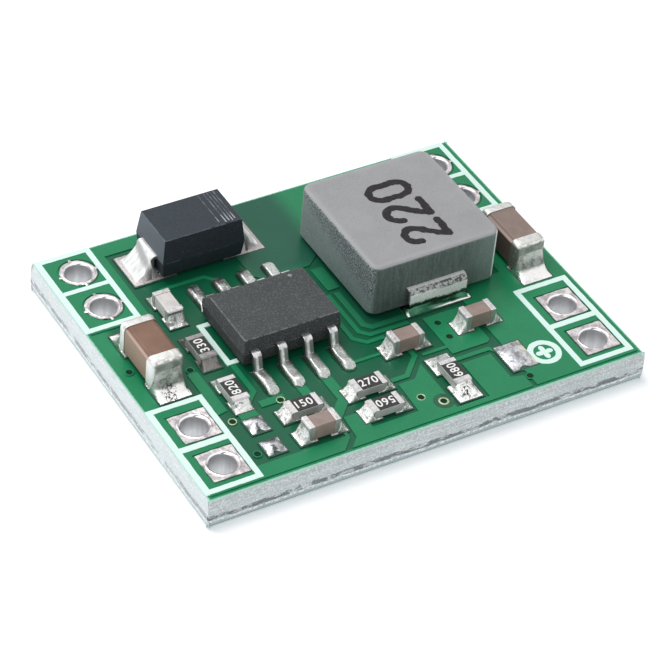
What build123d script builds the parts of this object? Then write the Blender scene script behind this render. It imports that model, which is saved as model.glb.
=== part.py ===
from build123d import *
import os
from math import atan, degrees

# A step-down converter module: a small board with its coil, diode, driver chip,
# capacitors and resistors. Millimetres. X runs along the long side of the board,
# Y towards the diode and the coil, Z up. The origin is under the board's middle.

# Board, from the copper of its underside at zero up to the copper on top. The green
# mask is a coat of paint, so it is a colour of the laminate and the copper.
board_length = 22.0
board_width = 17.0
board_thickness = 1.6
copper_thickness = 0.05
score_depth = 0.4
score_lean = 0.09
copper_inset = 0.28
land_gap = 0.08

# Plated holes for wires or pins: one column at each end, in two pairs
hole_bore = 1.2
hole_wall = 0.06
hole_pitch = 2.54
hole_end_inset = 1.62
back_hole_inset = 1.53
front_hole_inset = 1.81
round_land = 1.72
square_land = 1.76
land_rise = 0.02

# Solder: its film under each terminal, and the lip at a pad's edge
solder_film = 0.03
solder_lip = 0.06

# A hollow solder slope passes this share of its rise at this share of its reach
sag_reach = 0.3
sag_rise = 0.42

# Length of a lead or a clip inside its case
strip_root = 0.2

# Driver chip with eight bent leads
chip_at = (-3.39, 0.03)
chip_length = 4.9
chip_width = 3.9
chip_height = 1.45
chip_standoff = 0.12
chip_draft = 7.0
chip_bevel = 0.46
lead_count = 8
lead_pitch = 1.27
lead_width = 0.41
lead_thickness = 0.2
lead_span = 6.0
lead_foot = 0.62
lead_bend = 0.24
lead_shoulder = 0.2
lead_pad_width = 0.6
lead_pad_inner = 2.2
lead_pad_outer = 4.0
lead_pad_corner = 0.18

# Diode in a moulded case with two wrapped leads
diode_at = (-4.21, 6.09)
diode_length = 4.18
diode_width = 2.66
diode_height = 2.05
diode_parting = 0.83
diode_draft = 6.5
diode_lead_width = 1.45
diode_lead_thickness = 0.18
diode_lead_bend = 0.22
diode_lead_stub = 0.1
diode_lead_tuck = 1.05
diode_pad_span = 6.6
diode_pad_length = 2.1
diode_pad_width = 2.15
diode_solder_rise = 0.95

# Moulded coil with a bowed clip terminal at its front and back
coil_end_inset = 6.78
coil_at = (board_length / 2 - coil_end_inset, 1.96)
coil_length = 6.65
coil_width = 6.7
coil_height = 2.68
coil_corner = 0.5
coil_edge = 0.12
terminal_width = 3.0
terminal_thickness = 0.15
terminal_bend = 0.32
terminal_bow = 0.22
terminal_rise = 1.1
terminal_tuck = 1.5
coil_pad_span = 7.85
coil_pad_length = 1.9
coil_pad_width = 3.3
coil_solder_rise = 0.35

# Two large ceramic capacitors, standing along Y near the ends of the board
large_end_inset = 1.71
large_x = board_length / 2 - large_end_inset
large_capacitors = {"left_capacitor": (-large_x, 0.06), "right_capacitor": (large_x, 0.12)}
large_length = 3.2
large_width = 1.6
large_height = 1.6
large_wrap = 0.55
large_edge = 0.2
large_pad_span = 4.85
large_pad_length = 1.5
large_pad_width = 1.54
large_solder_rise = 1.15

# Small ceramic capacitors and resistors: place, turn and height or pads
small_length = 1.6
small_width = 0.8
small_wrap = 0.3
small_edge = 0.06
small_pad_span = 2.32
small_pad_length = 0.82
small_pad_width = 0.88
small_solder_share = 0.8
small_capacitors = [
    (-6.99, 2.93, 90, 0.65),
    (-4.72, -6.77, 0, 0.8),
    (1.39, -3.56, 0, 0.8),
    (5.16, -3.52, 0, 0.8),
]
resistors = [
    (-6.96, -0.17, 90),
    (-7.0, -3.15, 90),
    (-4.71, -5.3, 0),
    (-1.51, -5.3, 0),
    (-1.5, -6.74, 180),
]
wide_resistor = (2.29, -6.28, 90)
resistor_height = 0.45
resistor_coat_thickness = 0.02
resistor_coat_margin = 0.02
wide_pad_span = 3.02
wide_pad_length = 1.1
wide_pad_width = 1.14
cup_wall = 0.03

# Pads that carry solder and no part: place and size
empty_pads = [(-6.96, -5.24, 0.88, 0.94), (-6.96, -6.72, 0.88, 0.88), (5.56, -6.23, 1.28, 1.7)]
empty_pad_rise = 0.14
empty_pad_inset = 0.24

# Heights that the layers share
core_low = copper_thickness
core_top = board_thickness - copper_thickness
seat = board_thickness + solder_film

# Copper around the holes: how far its edges lie inside the column of holes
input_reach = 1.08
back_reach = 1.58
right_reach = 1.38
hole_column = board_length / 2 - hole_end_inset
input_x = input_reach - hole_column
back_x = back_reach - hole_column
right_x = hole_column - right_reach

# Copper under the green mask: areas as corner points, tracks as points and a width
edge_x = board_length / 2 - copper_inset
edge_y = board_width / 2 - copper_inset
areas = {
    "input": [
        (-edge_x, -edge_y), (-4.3, -edge_y), (-3.72, -7.62), (-3.6, -6.6), (-2.5, -5.5),
        (-2.5, -3.0), (-3.0, -3.0), (-3.0, -5.3), (-3.85, -6.15), (-3.85, -7.45),
        (input_x, -7.45), (input_x, -2.6), (-edge_x, -2.6),
    ],
    "front_ground": [
        (-3.95, -edge_y), (-3.45, -7.7), (-3.35, -6.4), (-2.5, -6.4), (-2.5, -7.45),
        (-0.2, -7.45), (-0.12, -5.6), (0.72, -5.6), (1.45, -4.87), (1.45, -7.95),
        (3.12, -7.95), (3.12, -5.62), (4.62, -5.62), (4.62, -7.3), (5.2, -7.45),
        (5.2, -edge_y),
    ],
    "feedback": [(3.1, -4.9), (3.1, -2.3), (5.12, -2.3), (5.12, -4.75), (4.95, -4.9)],
    "output": [
        (5.42, -edge_y), (edge_x, -edge_y), (edge_x, 0.35), (right_x, 0.35), (right_x, -1.0),
        (2.5, -1.0), (2.5, -1.95), (5.42, -1.95), (5.42, -5.3), (5.0, -5.5), (5.0, -7.0),
        (5.42, -7.2),
    ],
    "right_ground": [(right_x, 0.75), (edge_x, 0.75), (edge_x, edge_y), (right_x, edge_y)],
    "switch": [
        (-2.4, edge_y), (7.6, edge_y), (7.6, 3.9), (1.4, 3.9), (0.35, 3.05), (-1.95, 3.05),
        (-2.4, 3.5),
    ],
    "back_ground": [
        (-edge_x, edge_y), (-2.8, edge_y), (-2.8, 7.5), (back_x, 7.5), (back_x, 2.95),
        (-edge_x, 2.95),
    ],
    "sense": [(-8.15, -1.15), (-7.65, -1.15), (-7.65, -3.9), (-8.15, -4.0)],
    "boost": [(-6.2, -3.95), (-5.0, -3.95), (-5.0, -4.35), (-6.2, -4.35)],
    "divider": [(-7.38, -4.78), (-6.54, -4.78), (-6.54, -4.0), (-7.38, -4.0)],
    "between": [(0.22, 1.15), (0.82, 1.15), (0.82, 2.75), (0.22, 2.75)],
}
tracks = [
    ([(-6.05, -1.35), (-6.05, -3.3), (-6.7, -3.95)], 0.26),
    ([(-4.03, -3.2), (-4.03, -5.0)], 0.45),
    ([(-0.5, -5.27), (0.52, -5.27), (1.5, -4.29), (1.5, -3.9)], 0.24),
    ([(-1.3, -3.52), (0.6, -3.52)], 0.16),
    ([(1.85, -4.38), (3.1, -4.38)], 0.16),
    ([(2.3, -5.28), (4.72, -5.28), (4.98, -5.54)], 0.22),
    ([(-6.6, 4.36), (-4.4, 4.36), (-3.75, 3.7)], 0.2),
    ([(-0.42, 1.1), (-0.42, -2.15), (0.05, -2.62), (0.95, -2.62)], 0.22),
    ([(0.06, 0.9), (0.06, -1.86), (0.44, -2.24), (2.4, -2.24)], 0.22),
    ([(0.5, 0.9), (0.5, -1.54), (0.78, -1.82), (2.5, -1.82)], 0.3),
]


def area(points):
    """A copper area from its corners."""
    return make_face(Polyline(*points, close=True))


def track(points, width):
    """A track of even width along straight runs."""
    return trace(Polyline(*points), width)


def box_plan(pad):
    """A rectangle from its centre and size."""
    x, y, width, depth = pad
    return Pos(x, y) * Rectangle(width, depth)


def slab(plan, low, high):
    """A flat layer with the given plan between two heights."""
    return Pos(0, 0, low) * extrude(plan, amount=high - low)


def joined(shapes):
    """All the given shapes as one."""
    total = shapes[0]
    for shape in shapes[1:]:
        total += shape
    return total


def end_pads(at, turn, span, length, width):
    """The two pads under a part with two ends, as centres and sizes."""
    out = (span - length) / 2
    if turn % 180:
        return [(at[0], at[1] + side * out, width, length) for side in (-1, 1)]
    return [(at[0] + side * out, at[1], length, width) for side in (-1, 1)]


def hole_places():
    """Centres of the plated holes, with True for a square land."""
    back = board_width / 2 - back_hole_inset
    front = -board_width / 2 + front_hole_inset
    places = []
    for x in (-hole_column, hole_column):
        places += [(x, back, False), (x, back - hole_pitch, False)]
        places += [(x, front + hole_pitch, True), (x, front, True)]
    return places


def land_plan(square, grow=0.0):
    """Outline of a hole's land."""
    if square:
        return Rectangle(square_land + 2 * grow, square_land + 2 * grow)
    return Circle(round_land / 2 + grow)


def part_pads():
    """Pads of every part with two ends, and the bare ones."""
    pads = end_pads(diode_at, 0, diode_pad_span, diode_pad_length, diode_pad_width)
    pads += end_pads(coil_at, 90, coil_pad_span, coil_pad_length, coil_pad_width)
    for at in large_capacitors.values():
        pads += end_pads(at, 90, large_pad_span, large_pad_length, large_pad_width)
    for x, y, turn, _ in small_capacitors:
        pads += end_pads((x, y), turn, small_pad_span, small_pad_length, small_pad_width)
    for x, y, turn in resistors:
        pads += end_pads((x, y), turn, small_pad_span, small_pad_length, small_pad_width)
    x, y, turn = wide_resistor
    pads += end_pads((x, y), turn, wide_pad_span, wide_pad_length, wide_pad_width)
    return pads + empty_pads


def lead_places():
    """Foot positions of the chip's leads: X, and -1 for the front row."""
    per_side = lead_count // 2
    first = -(per_side - 1) * lead_pitch / 2
    front = [(chip_at[0] + first + i * lead_pitch, -1) for i in range(per_side)]
    back = [(chip_at[0] - first - i * lead_pitch, 1) for i in range(per_side)]
    return front + back


def lead_pad(place):
    """The pad of one chip lead, with its outer corners cut."""
    x, side = place
    length = lead_pad_outer - lead_pad_inner
    middle = chip_at[1] + side * (lead_pad_outer + lead_pad_inner) / 2
    shape = Rectangle(lead_pad_width, length)
    outer = shape.vertices().group_by(Axis.Y)[-1 if side > 0 else 0]
    return Pos(x, middle) * chamfer(outer, lead_pad_corner)


def top_copper():
    """All the copper on top: areas, tracks and pads, clear of the holes' lands."""
    parts = [area(points) for points in areas.values()]
    parts += [track(points, width) for points, width in tracks]
    parts += [box_plan(pad) for pad in part_pads()]
    parts += [lead_pad(place) for place in lead_places()]
    plan = joined(parts)
    for x, y, square in hole_places():
        plan -= Pos(x, y) * land_plan(square, land_gap)
    return slab(plan, core_top, board_thickness)


def bottom_copper():
    """One area over the whole underside, with a gap at each hole."""
    plan = Rectangle(2 * edge_x, 2 * edge_y)
    for x, y, _ in hole_places():
        plan -= Pos(x, y) * land_plan(True, land_gap)
    return slab(plan, 0, core_low)


def circuit_board():
    """The laminate: a middle web as wide as the board and sloped score edges."""
    slope = degrees(atan(score_lean / score_depth))
    plan = Rectangle(board_length, board_width)
    web_low = core_low + score_depth
    web_top = core_top - score_depth
    body = slab(plan, web_low, web_top)
    body += Pos(0, 0, web_top) * extrude(plan, amount=score_depth, taper=slope)
    body += Pos(0, 0, web_low) * extrude(plan, amount=-score_depth, taper=slope)
    for x, y, _ in hole_places():
        drill = Circle(hole_bore / 2 + hole_wall)
        body -= slab(Pos(x, y) * drill, core_low, core_top)
    return body


def round_eyelet():
    """A tinned barrel with round lands that thin out from the bore."""
    inner = hole_bore / 2
    outer = inner + hole_wall
    half = [
        (inner, 0), (round_land / 2, core_low), (outer, core_low),
        (outer, core_top), (round_land / 2, core_top), (inner, board_thickness + land_rise),
    ]
    return revolve(Plane.XZ * make_face(Polyline(*half, close=True)), Axis.Z)


def square_eyelet():
    """A tinned barrel with a flat square land at each face."""
    top = slab(land_plan(True), core_top, board_thickness + land_rise)
    low = slab(land_plan(True), 0, core_low)
    tube = slab(Circle(hole_bore / 2 + hole_wall), core_low, core_top)
    bore = slab(Circle(hole_bore / 2), 0, board_thickness + land_rise)
    return top + low + tube - bore


def plated_hole(x, y, square):
    return Pos(x, y) * (square_eyelet() if square else round_eyelet())


def moulded(length, width, height, parting, draft):
    """A moulded case, widest at its parting line."""
    plan = Rectangle(length, width)
    upper = extrude(plan, amount=height - parting, taper=draft)
    lower = extrude(plan, amount=-parting, taper=draft)
    return Pos(0, 0, parting) * (upper + lower)


def bend_corners(plan, points, offset):
    """Corners of a strip's plan that lie a given distance inside each of its bends."""
    corners = []
    for before, knee, after in zip(points, points[1:], points[2:]):
        knee = Vector(*knee)
        inward = (Vector(*before) - knee).normalized() + (Vector(*after) - knee).normalized()
        spot = knee + inward.normalized() * offset
        corners.append(plan.vertices().sort_by_distance(spot)[0])
    return corners


def bent_strip(points, thickness, bend, width, bowed=False):
    """A metal strip bent along points in the XZ plane, round outside each bend.

    A bowed strip is round inside its bends too.
    """
    plan = trace(Polyline(*points), thickness)
    plan = fillet(bend_corners(plan, points, -thickness), bend)
    if bowed:
        plan = fillet(bend_corners(plan, points, thickness), bend - thickness)
    return extrude(Plane.XZ * plan, amount=width / 2, both=True)


def chip_body():
    """Moulded case with a bevel along its back, the side of the first lead."""
    body = moulded(chip_length, chip_width, chip_height, chip_height / 2, chip_draft)
    back = body.faces().sort_by(Axis.Z)[-1].edges().sort_by(Axis.Y)[-1]
    return Pos(*chip_at, seat + chip_standoff) * chamfer(back, chip_bevel)


def chip_lead(place):
    """A gull-wing lead: out of the case, down, and out again along its pad."""
    x, side = place
    half = lead_thickness / 2
    shoulder = chip_standoff + chip_height / 2
    heel = lead_span / 2 - lead_foot
    knee = chip_width / 2 + lead_shoulder
    points = [
        (chip_width / 2 - strip_root, shoulder),
        (knee, shoulder),
        (heel, half),
        (lead_span / 2, half),
    ]
    strip = bent_strip(points, lead_thickness, lead_bend, lead_width)
    return Pos(x, chip_at[1], seat) * Rot(0, 0, 90 * side) * strip


def wrapped_strip(out, rise, face, tuck, thickness, width, bend, bowed=False):
    """A strip that leaves a case at a height, turns down at its face and tucks under."""
    half = thickness / 2
    run = face - half
    points = [(out - strip_root, rise), (run, rise), (run, half), (face - tuck, half)]
    return bent_strip(points, thickness, bend, width, bowed)


def diode_face():
    """Distance from the diode's middle to the outer face of its leads."""
    return diode_length / 2 + diode_lead_stub + diode_lead_thickness


def coil_face():
    """Distance from the coil's middle to the outer face of its clips."""
    return coil_width / 2 + terminal_bow + terminal_thickness


def diode_parts():
    """The case, and two leads that leave it at its parting line."""
    body = Pos(0, 0, diode_lead_thickness) * moulded(
        diode_length, diode_width, diode_height, diode_parting, diode_draft
    )
    strip = wrapped_strip(
        diode_length / 2, diode_lead_thickness + diode_parting, diode_face(), diode_lead_tuck,
        diode_lead_thickness, diode_lead_width, diode_lead_bend,
    )
    body -= strip + Rot(0, 0, 180) * strip
    place = Pos(*diode_at, seat)
    return {
        "diode_body": place * body,
        "diode_lead_left": place * Rot(0, 0, 180) * strip,
        "diode_lead_right": place * strip,
    }


def coil_parts():
    """The pressed block with rounded corners, and its two clip terminals."""
    plan = RectangleRounded(coil_length, coil_width, coil_corner)
    body = slab(plan, terminal_thickness, terminal_thickness + coil_height)
    body = chamfer(body.faces().sort_by(Axis.Z)[-1].edges(), coil_edge)
    strip = wrapped_strip(
        coil_width / 2, terminal_rise, coil_face(), terminal_tuck,
        terminal_thickness, terminal_width, terminal_bend, bowed=True,
    )
    front = Rot(0, 0, -90) * strip
    back = Rot(0, 0, 90) * strip
    body -= front + back
    place = Pos(*coil_at, seat)
    return {
        "coil_body": place * body,
        "coil_terminal_front": place * front,
        "coil_terminal_back": place * back,
    }


def block(length, width, height, edge, rounded):
    """The ceramic inside the end cups of a part; a large one has bevelled edges."""
    size = (length - 2 * edge, width - 2 * cup_wall, height - 2 * cup_wall)
    core = Pos(0, 0, height / 2) * Box(*size)
    if rounded:
        core = chamfer(core.edges().filter_by(Axis.X), edge)
    return core


def end_cup(length, width, height, wrap, edge, rounded):
    """A metal cup over the +X end of a ceramic block, soft at its outer edges."""
    cup = Pos((length - wrap) / 2, 0, height / 2) * Box(wrap, width, height)
    rim = cup.faces().sort_by(Axis.X)[-1].edges()
    cup = chamfer(rim + cup.edges().filter_by(Axis.X) if rounded else rim, edge)
    return cup - block(length, width, height, edge, rounded)


def resistor_end():
    """A metal clip over the end of a resistor, open at its two sides."""
    middle = Pos((small_length - small_wrap) / 2, 0, resistor_height / 2)
    clip = middle * Box(small_wrap, small_width, resistor_height)
    ends = clip.faces().sort_by(Axis.X)[-1].edges().filter_by(Axis.Y)
    return chamfer(ends, small_edge) - resistor_block()


def resistor_block():
    """The white ceramic plate of a resistor."""
    size = (small_length - 2 * small_edge, small_width, resistor_height - 2 * cup_wall)
    return Pos(0, 0, resistor_height / 2) * Box(*size)


def resistor_coat():
    """The black coat over the top of a resistor, from one metal end to the other."""
    low = resistor_height - cup_wall
    plan = Rectangle(small_length - 2 * small_wrap, small_width - 2 * resistor_coat_margin)
    return slab(plan, low, low + resistor_coat_thickness)


def solder_end(half, reach, pad_length, pad_width, width, rise, hollow):
    """Solder on the pad at +X: a film, and a slope up to the part's end."""
    film = slab(
        Pos(half + reach - pad_length / 2, 0) * Rectangle(pad_length, pad_width),
        0, solder_film,
    )
    tip = (half + reach, solder_lip)
    top = (half, rise)
    sag = (half + reach * sag_reach, solder_lip + (rise - solder_lip) * sag_rise)
    foot = Polyline(tip, (half + reach, 0), (half, 0), top)
    slope = ThreePointArc(top, sag, tip) if hollow else Line(top, tip)
    profile = Plane.XZ * make_face(foot + slope)
    return film + extrude(profile, amount=width / 2, both=True)


def both_ends(piece):
    return [piece, Rot(0, 0, 180) * piece]


def solder_pair(at, turn, length, span, pad_length, pad_width, width, rise, hollow=True):
    """Solder at both ends of a part."""
    reach = (span - length) / 2
    end = solder_end(length / 2, reach, pad_length, pad_width, width, rise, hollow)
    place = Pos(*at, board_thickness) * Rot(0, 0, turn)
    return [place * piece for piece in both_ends(end)]


def solder_large():
    """Solder of the diode, the coil and the two large capacitors."""
    pieces = solder_pair(
        diode_at, 0, 2 * diode_face(), diode_pad_span, diode_pad_length, diode_pad_width,
        diode_lead_width, diode_solder_rise,
    )
    pieces += solder_pair(
        coil_at, 90, 2 * coil_face(), coil_pad_span, coil_pad_length, coil_pad_width,
        terminal_width, coil_solder_rise,
    )
    for at in large_capacitors.values():
        pieces += solder_pair(
            at, 90, large_length, large_pad_span, large_pad_length, large_pad_width,
            large_width - 2 * large_edge, large_solder_rise,
        )
    return pieces


def solder_small():
    """Solder of the small capacitors and the resistors."""
    pieces = []
    pad = (small_pad_span, small_pad_length, small_pad_width, small_width - 2 * small_edge)
    for x, y, turn, height in small_capacitors:
        rise = height * small_solder_share
        pieces += solder_pair((x, y), turn, small_length, *pad, rise, hollow=False)
    rise = resistor_height * small_solder_share
    for x, y, turn in resistors:
        pieces += solder_pair((x, y), turn, small_length, *pad, rise, hollow=False)
    x, y, turn = wide_resistor
    pad = (wide_pad_span, wide_pad_length, wide_pad_width, small_width)
    pieces += solder_pair((x, y), turn, small_length, *pad, rise, hollow=False)
    return pieces


def solder_chip():
    """A film on each lead's pad, with a low slope at the lead's toe."""
    pieces = []
    for place in lead_places():
        x, side = place
        film = slab(lead_pad(place), board_thickness, seat)
        reach = lead_pad_outer - lead_span / 2
        rise = solder_film + lead_thickness
        toe = solder_end(lead_span / 2, reach, reach, lead_width, lead_width, rise, False)
        toe = Pos(x, chip_at[1], board_thickness) * Rot(0, 0, 90 * side) * toe
        bound = slab(lead_pad(place), board_thickness, seat + lead_thickness)
        pieces.append(film + (toe & bound))
    return pieces


def solder_bare():
    """A low crown of solder on each pad that carries no part."""
    pieces = []
    for x, y, width, depth in empty_pads:
        foot = Rectangle(width, depth)
        heap = slab(foot, 0, solder_film)
        slope = degrees(atan(empty_pad_inset / (empty_pad_rise - solder_film)))
        crown = extrude(foot, amount=empty_pad_rise - solder_film, taper=slope)
        heap += Pos(0, 0, solder_film) * crown
        pieces.append(Pos(x, y, board_thickness) * heap)
    return pieces


def large_capacitor_parts():
    parts = {}
    for name, at in large_capacitors.items():
        cup = end_cup(large_length, large_width, large_height, large_wrap, large_edge, True)
        place = Pos(*at, seat) * Rot(0, 0, 90)
        core = block(large_length, large_width, large_height, large_edge, True)
        parts[name] = place * core
        parts[name + "_back_end"] = place * cup
        parts[name + "_front_end"] = place * Rot(0, 0, 180) * cup
    return parts


def small_parts():
    parts = {}
    for number, (x, y, turn, height) in enumerate(small_capacitors, 1):
        place = Pos(x, y, seat) * Rot(0, 0, turn)
        cup = end_cup(small_length, small_width, height, small_wrap, small_edge, False)
        core = block(small_length, small_width, height, small_edge, False)
        parts[f"small_capacitor_{number}"] = place * core
        ends = [place * piece for piece in both_ends(cup)]
        parts[f"small_capacitor_ends_{number}"] = Compound(ends)
    coats = []
    clip = resistor_end()
    for number, (x, y, turn) in enumerate(resistors + [wide_resistor], 1):
        place = Pos(x, y, seat) * Rot(0, 0, turn)
        parts[f"resistor_{number}"] = place * resistor_block()
        ends = [place * piece for piece in both_ends(clip)]
        parts[f"resistor_ends_{number}"] = Compound(ends)
        coats.append(place * resistor_coat())
    parts["resistor_coats"] = Compound(coats)
    return parts


def all_parts():
    """Every piece by the name of its file."""
    parts = {
        "circuit_board": circuit_board(),
        "top_copper": top_copper(),
        "bottom_copper": bottom_copper(),
        "chip_body": chip_body(),
    }
    for number, place in enumerate(hole_places(), 1):
        parts[f"plated_hole_{number}"] = plated_hole(*place)
    for number, place in enumerate(lead_places(), 1):
        parts[f"chip_lead_{number}"] = chip_lead(place)
    parts["chip_body"] -= joined([parts[f"chip_lead_{n}"] for n in range(1, lead_count + 1)])
    parts.update(diode_parts())
    parts.update(coil_parts())
    parts.update(large_capacitor_parts())
    parts.update(small_parts())
    parts["chip_solder"] = Compound(solder_chip())
    parts["large_part_solder"] = Compound(solder_large())
    parts["small_part_solder"] = Compound(solder_small())
    parts["bare_pad_solder"] = Compound(solder_bare())
    return parts


os.makedirs("parts", exist_ok=True)
for part_name, shape in all_parts().items():
    export_step(shape, f"parts/{part_name}.step")
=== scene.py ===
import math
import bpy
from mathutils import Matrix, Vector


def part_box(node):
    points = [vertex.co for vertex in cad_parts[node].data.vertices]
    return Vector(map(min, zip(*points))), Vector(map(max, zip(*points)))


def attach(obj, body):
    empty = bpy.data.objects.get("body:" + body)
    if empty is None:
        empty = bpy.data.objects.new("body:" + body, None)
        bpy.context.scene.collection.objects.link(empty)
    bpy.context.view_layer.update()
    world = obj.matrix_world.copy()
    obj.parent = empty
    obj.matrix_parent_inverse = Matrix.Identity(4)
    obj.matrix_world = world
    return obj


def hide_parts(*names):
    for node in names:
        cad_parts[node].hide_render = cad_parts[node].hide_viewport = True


bl_info = {
    "name": "Converter board looks",
    "version": (1, 0, 0),
    "blender": (4, 5, 0),
    "location": "View3D > Sidebar > Board",
    "description": "Finishes, solder, print and fine detail for the packed converter board",
    "category": "Object",
}

from dataclasses import dataclass

import bmesh
import bpy
from bpy.props import FloatProperty, FloatVectorProperty, PointerProperty
from mathutils import Matrix, Vector, noise

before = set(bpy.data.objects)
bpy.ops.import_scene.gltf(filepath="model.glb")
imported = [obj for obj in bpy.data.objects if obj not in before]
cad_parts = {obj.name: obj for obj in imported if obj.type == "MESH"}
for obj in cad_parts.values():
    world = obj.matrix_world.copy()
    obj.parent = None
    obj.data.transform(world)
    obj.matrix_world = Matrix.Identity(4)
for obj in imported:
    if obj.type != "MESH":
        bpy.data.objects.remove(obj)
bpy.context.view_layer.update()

# Sizes in this file are millimetres of the board, and meshes and props are in metres.
MM = 0.001
ROOT = "root"
PICTURE_SIZE = 670


def paint(red, green, blue):
    """A linear colour from the 0 to 255 values of a screen."""
    parts = []
    for level in (red, green, blue):
        share = level / 255
        low = share <= 0.04045
        parts.append(share / 12.92 if low else ((share + 0.055) / 1.055) ** 2.4)
    return tuple(parts)


def dim(tint, share):
    """A colour with its light scaled."""
    return tuple(level * share for level in tint)


def box(node):
    """Lowest and highest corner of a CAD node in millimetres."""
    low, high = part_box(node)
    return low / MM, high / MM


def middle(node):
    """Middle of a CAD node's box in millimetres."""
    low, high = box(node)
    return (low + high) / 2


def colour(name, text, value):
    """A colour that a user would change."""
    return FloatVectorProperty(
        name=name, description=text, default=value, size=3, subtype="COLOR", min=0, max=1
    )


def length(name, text, value):
    """A length that a user would change: given in millimetres and kept in metres."""
    return FloatProperty(
        name=name, description=text, default=value * MM, min=0, precision=6,
        subtype="DISTANCE", unit="LENGTH",
    )


def angle(name, text, value):
    """An angle that a user would change: given in degrees and kept in radians."""
    return FloatProperty(
        name=name, description=text, default=math.radians(value), subtype="ANGLE", unit="ROTATION"
    )


BOARD_TOP = box("circuit_board")[1].z
COPPER_TOP = box("top_copper")[1].z
# Half of the length and width that the copper reaches
COPPER_EDGE = (10.72, 8.22)
# Depth to which solder, rings and print reach into what lies below them
SUNK = 0.01
# Heights between which a finish of both sides changes to that of the top side
TOP_SIDE = (0.6, 1.0)


class BoardFinish(bpy.types.PropertyGroup):
    """Colours of the board itself."""

    mask_on_copper: colour("Mask on copper", "Green where copper lies below", paint(30, 131, 87))
    mask_on_board: colour("Mask on board", "Green where no copper lies below", paint(16, 96, 66))
    # Painted shade and painted reflection of the coil and the diode on the mask
    mask_painted_shade: colour("Mask in shade", "Green between the diode and the coil", paint(27, 79, 65))
    mask_rim: colour("Mask at the rim", "Thin mask along the board's edges", paint(150, 208, 184))
    laminate: colour("Laminate", "Cut glass laminate", paint(224, 232, 233))
    fleck: colour("Flecks", "Broken fibres in the cut", paint(132, 140, 143))
    print_white: colour("Print", "White legend", paint(221, 246, 238))
    outline: colour("Outline", "Bare rim around a pad", paint(46, 84, 66))


class MetalFinish(bpy.types.PropertyGroup):
    """Colours of solder and tinned metal."""

    solder: colour("Solder", "Bright solder", paint(244, 243, 241))
    solder_dark: colour("Solder shade", "Dull patches of solder", paint(112, 108, 102))
    tin: colour("Tin", "Tinned leads and clips", paint(216, 213, 214))
    tin_dark: colour("Tin shade", "Dull patches of tin", paint(112, 110, 110))
    shade: colour("Metal in shade", "Metal faces turned from the light", paint(126, 131, 125))
    land: colour("Land", "Tinned rings of the holes", paint(222, 217, 218))
    # Near white, as painted light on the inside of a hole
    barrel: colour("Barrel", "Inside of a plated hole", paint(250, 251, 252))
    gold: colour("Ring", "Bare ring of a via", paint(172, 188, 150))


class PartFinish(bpy.types.PropertyGroup):
    """Colours of the parts on the board."""

    coil_top: colour("Coil top", "Ground top of the coil", paint(149, 149, 151))
    # The left and front are lit and shaded copies of the pressed side: painted light on the left,
    # painted shade and painted green reflection of the board on the front
    coil_left_painted_light: colour("Coil left", "Pressed left side of the coil", paint(140, 153, 152))
    coil_front_painted_shade: colour("Coil front", "Pressed front of the coil", paint(90, 105, 101))
    coil_ink: colour("Coil ink", "Printed number", paint(36, 33, 38))
    chip: colour("Chip", "Moulded chip case", paint(62, 66, 67))
    diode: colour("Diode", "Moulded diode case", paint(43, 52, 60))
    brown: colour("Brown ceramic", "Ceramic of the left capacitor", paint(126, 93, 75))
    dusty: colour("Dusty ceramic", "Ceramic of the right capacitor", paint(137, 117, 109))
    sandy: colour("Sandy ceramic", "Ceramic of the small capacitors", paint(151, 132, 124))
    pale: colour("Pale ceramic", "Ceramic of the pale capacitor", paint(217, 211, 208))
    plate: colour("Resistor plate", "Ceramic below a resistor", paint(188, 190, 186))
    coat: colour("Resistor coat", "Dark glaze of a resistor", paint(38, 38, 39))


class FineSizes(bpy.types.PropertyGroup):
    """Sizes of the fine detail."""

    print_width: length("Print width", "Width of the white lines", 0.27)
    print_height: length("Print height", "Thickness of the white lines", 0.014)
    via_radius: length("Via radius", "Radius of a via's ring", 0.215)
    via_bore: length("Via bore", "Radius of a via's hole", 0.155)
    outline: length("Outline", "Bare rim around each pad", 0.07)


class Studio(bpy.types.PropertyGroup):
    """Camera and light."""

    azimuth: angle("Azimuth", "Turn of the camera from the board's front", -33.63)
    elevation: angle("Elevation", "Rise of the camera above the board", 40.96)
    roll: angle("Roll", "Turn of the camera about its own axis", 5.62)
    distance: length("Distance", "Distance of the camera from the board's middle", 132.15)
    focus: FloatProperty(
        name="Focus", description="Focal length", default=2936.3, min=0, subtype="PIXEL"
    )
    sky: FloatProperty(name="Sky", description="Level of the soft light", default=0.5, min=0)
    key: FloatProperty(
        name="Key", description="Power of the main lamp", default=0.3, min=0, unit="POWER"
    )


class Value:
    """A shader socket that Python's operators turn into nodes."""

    def __init__(self, shader, socket):
        self.shader = shader
        self.socket = socket

    def __add__(self, other):
        return self.shader.maths("ADD", self, other)

    __radd__ = __add__

    def __sub__(self, other):
        return self.shader.maths("SUBTRACT", self, other)

    def __rsub__(self, other):
        return self.shader.maths("SUBTRACT", other, self)

    def __mul__(self, other):
        return self.shader.maths("MULTIPLY", self, other)

    __rmul__ = __mul__

    def __neg__(self):
        return self * -1

    def size(self):
        """The value without its sign."""
        return self.shader.maths("ABSOLUTE", self, 0)

    def most(self, other):
        """The larger of two values."""
        return self.shader.maths("MAXIMUM", self, other)

    def ramp(self, low, high):
        """0 at low and 1 at high, smooth between."""
        return self.shader.node(
            "MapRange",
            {"interpolation_type": "SMOOTHSTEP"},
            {"Value": self, "From Min": low, "From Max": high},
        )

    def fall(self, low, high):
        """1 at low and 0 at high, smooth between."""
        return 1 - self.ramp(low, high)

    def between(self, start, full, fade, end):
        """1 from full to fade, and 0 before start and after end."""
        return self.ramp(start, full) * self.fall(fade, end)

    def near(self, full, end):
        """1 where the value is within full of 0, and 0 where it is past end."""
        return self.size().fall(full, end)


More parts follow.
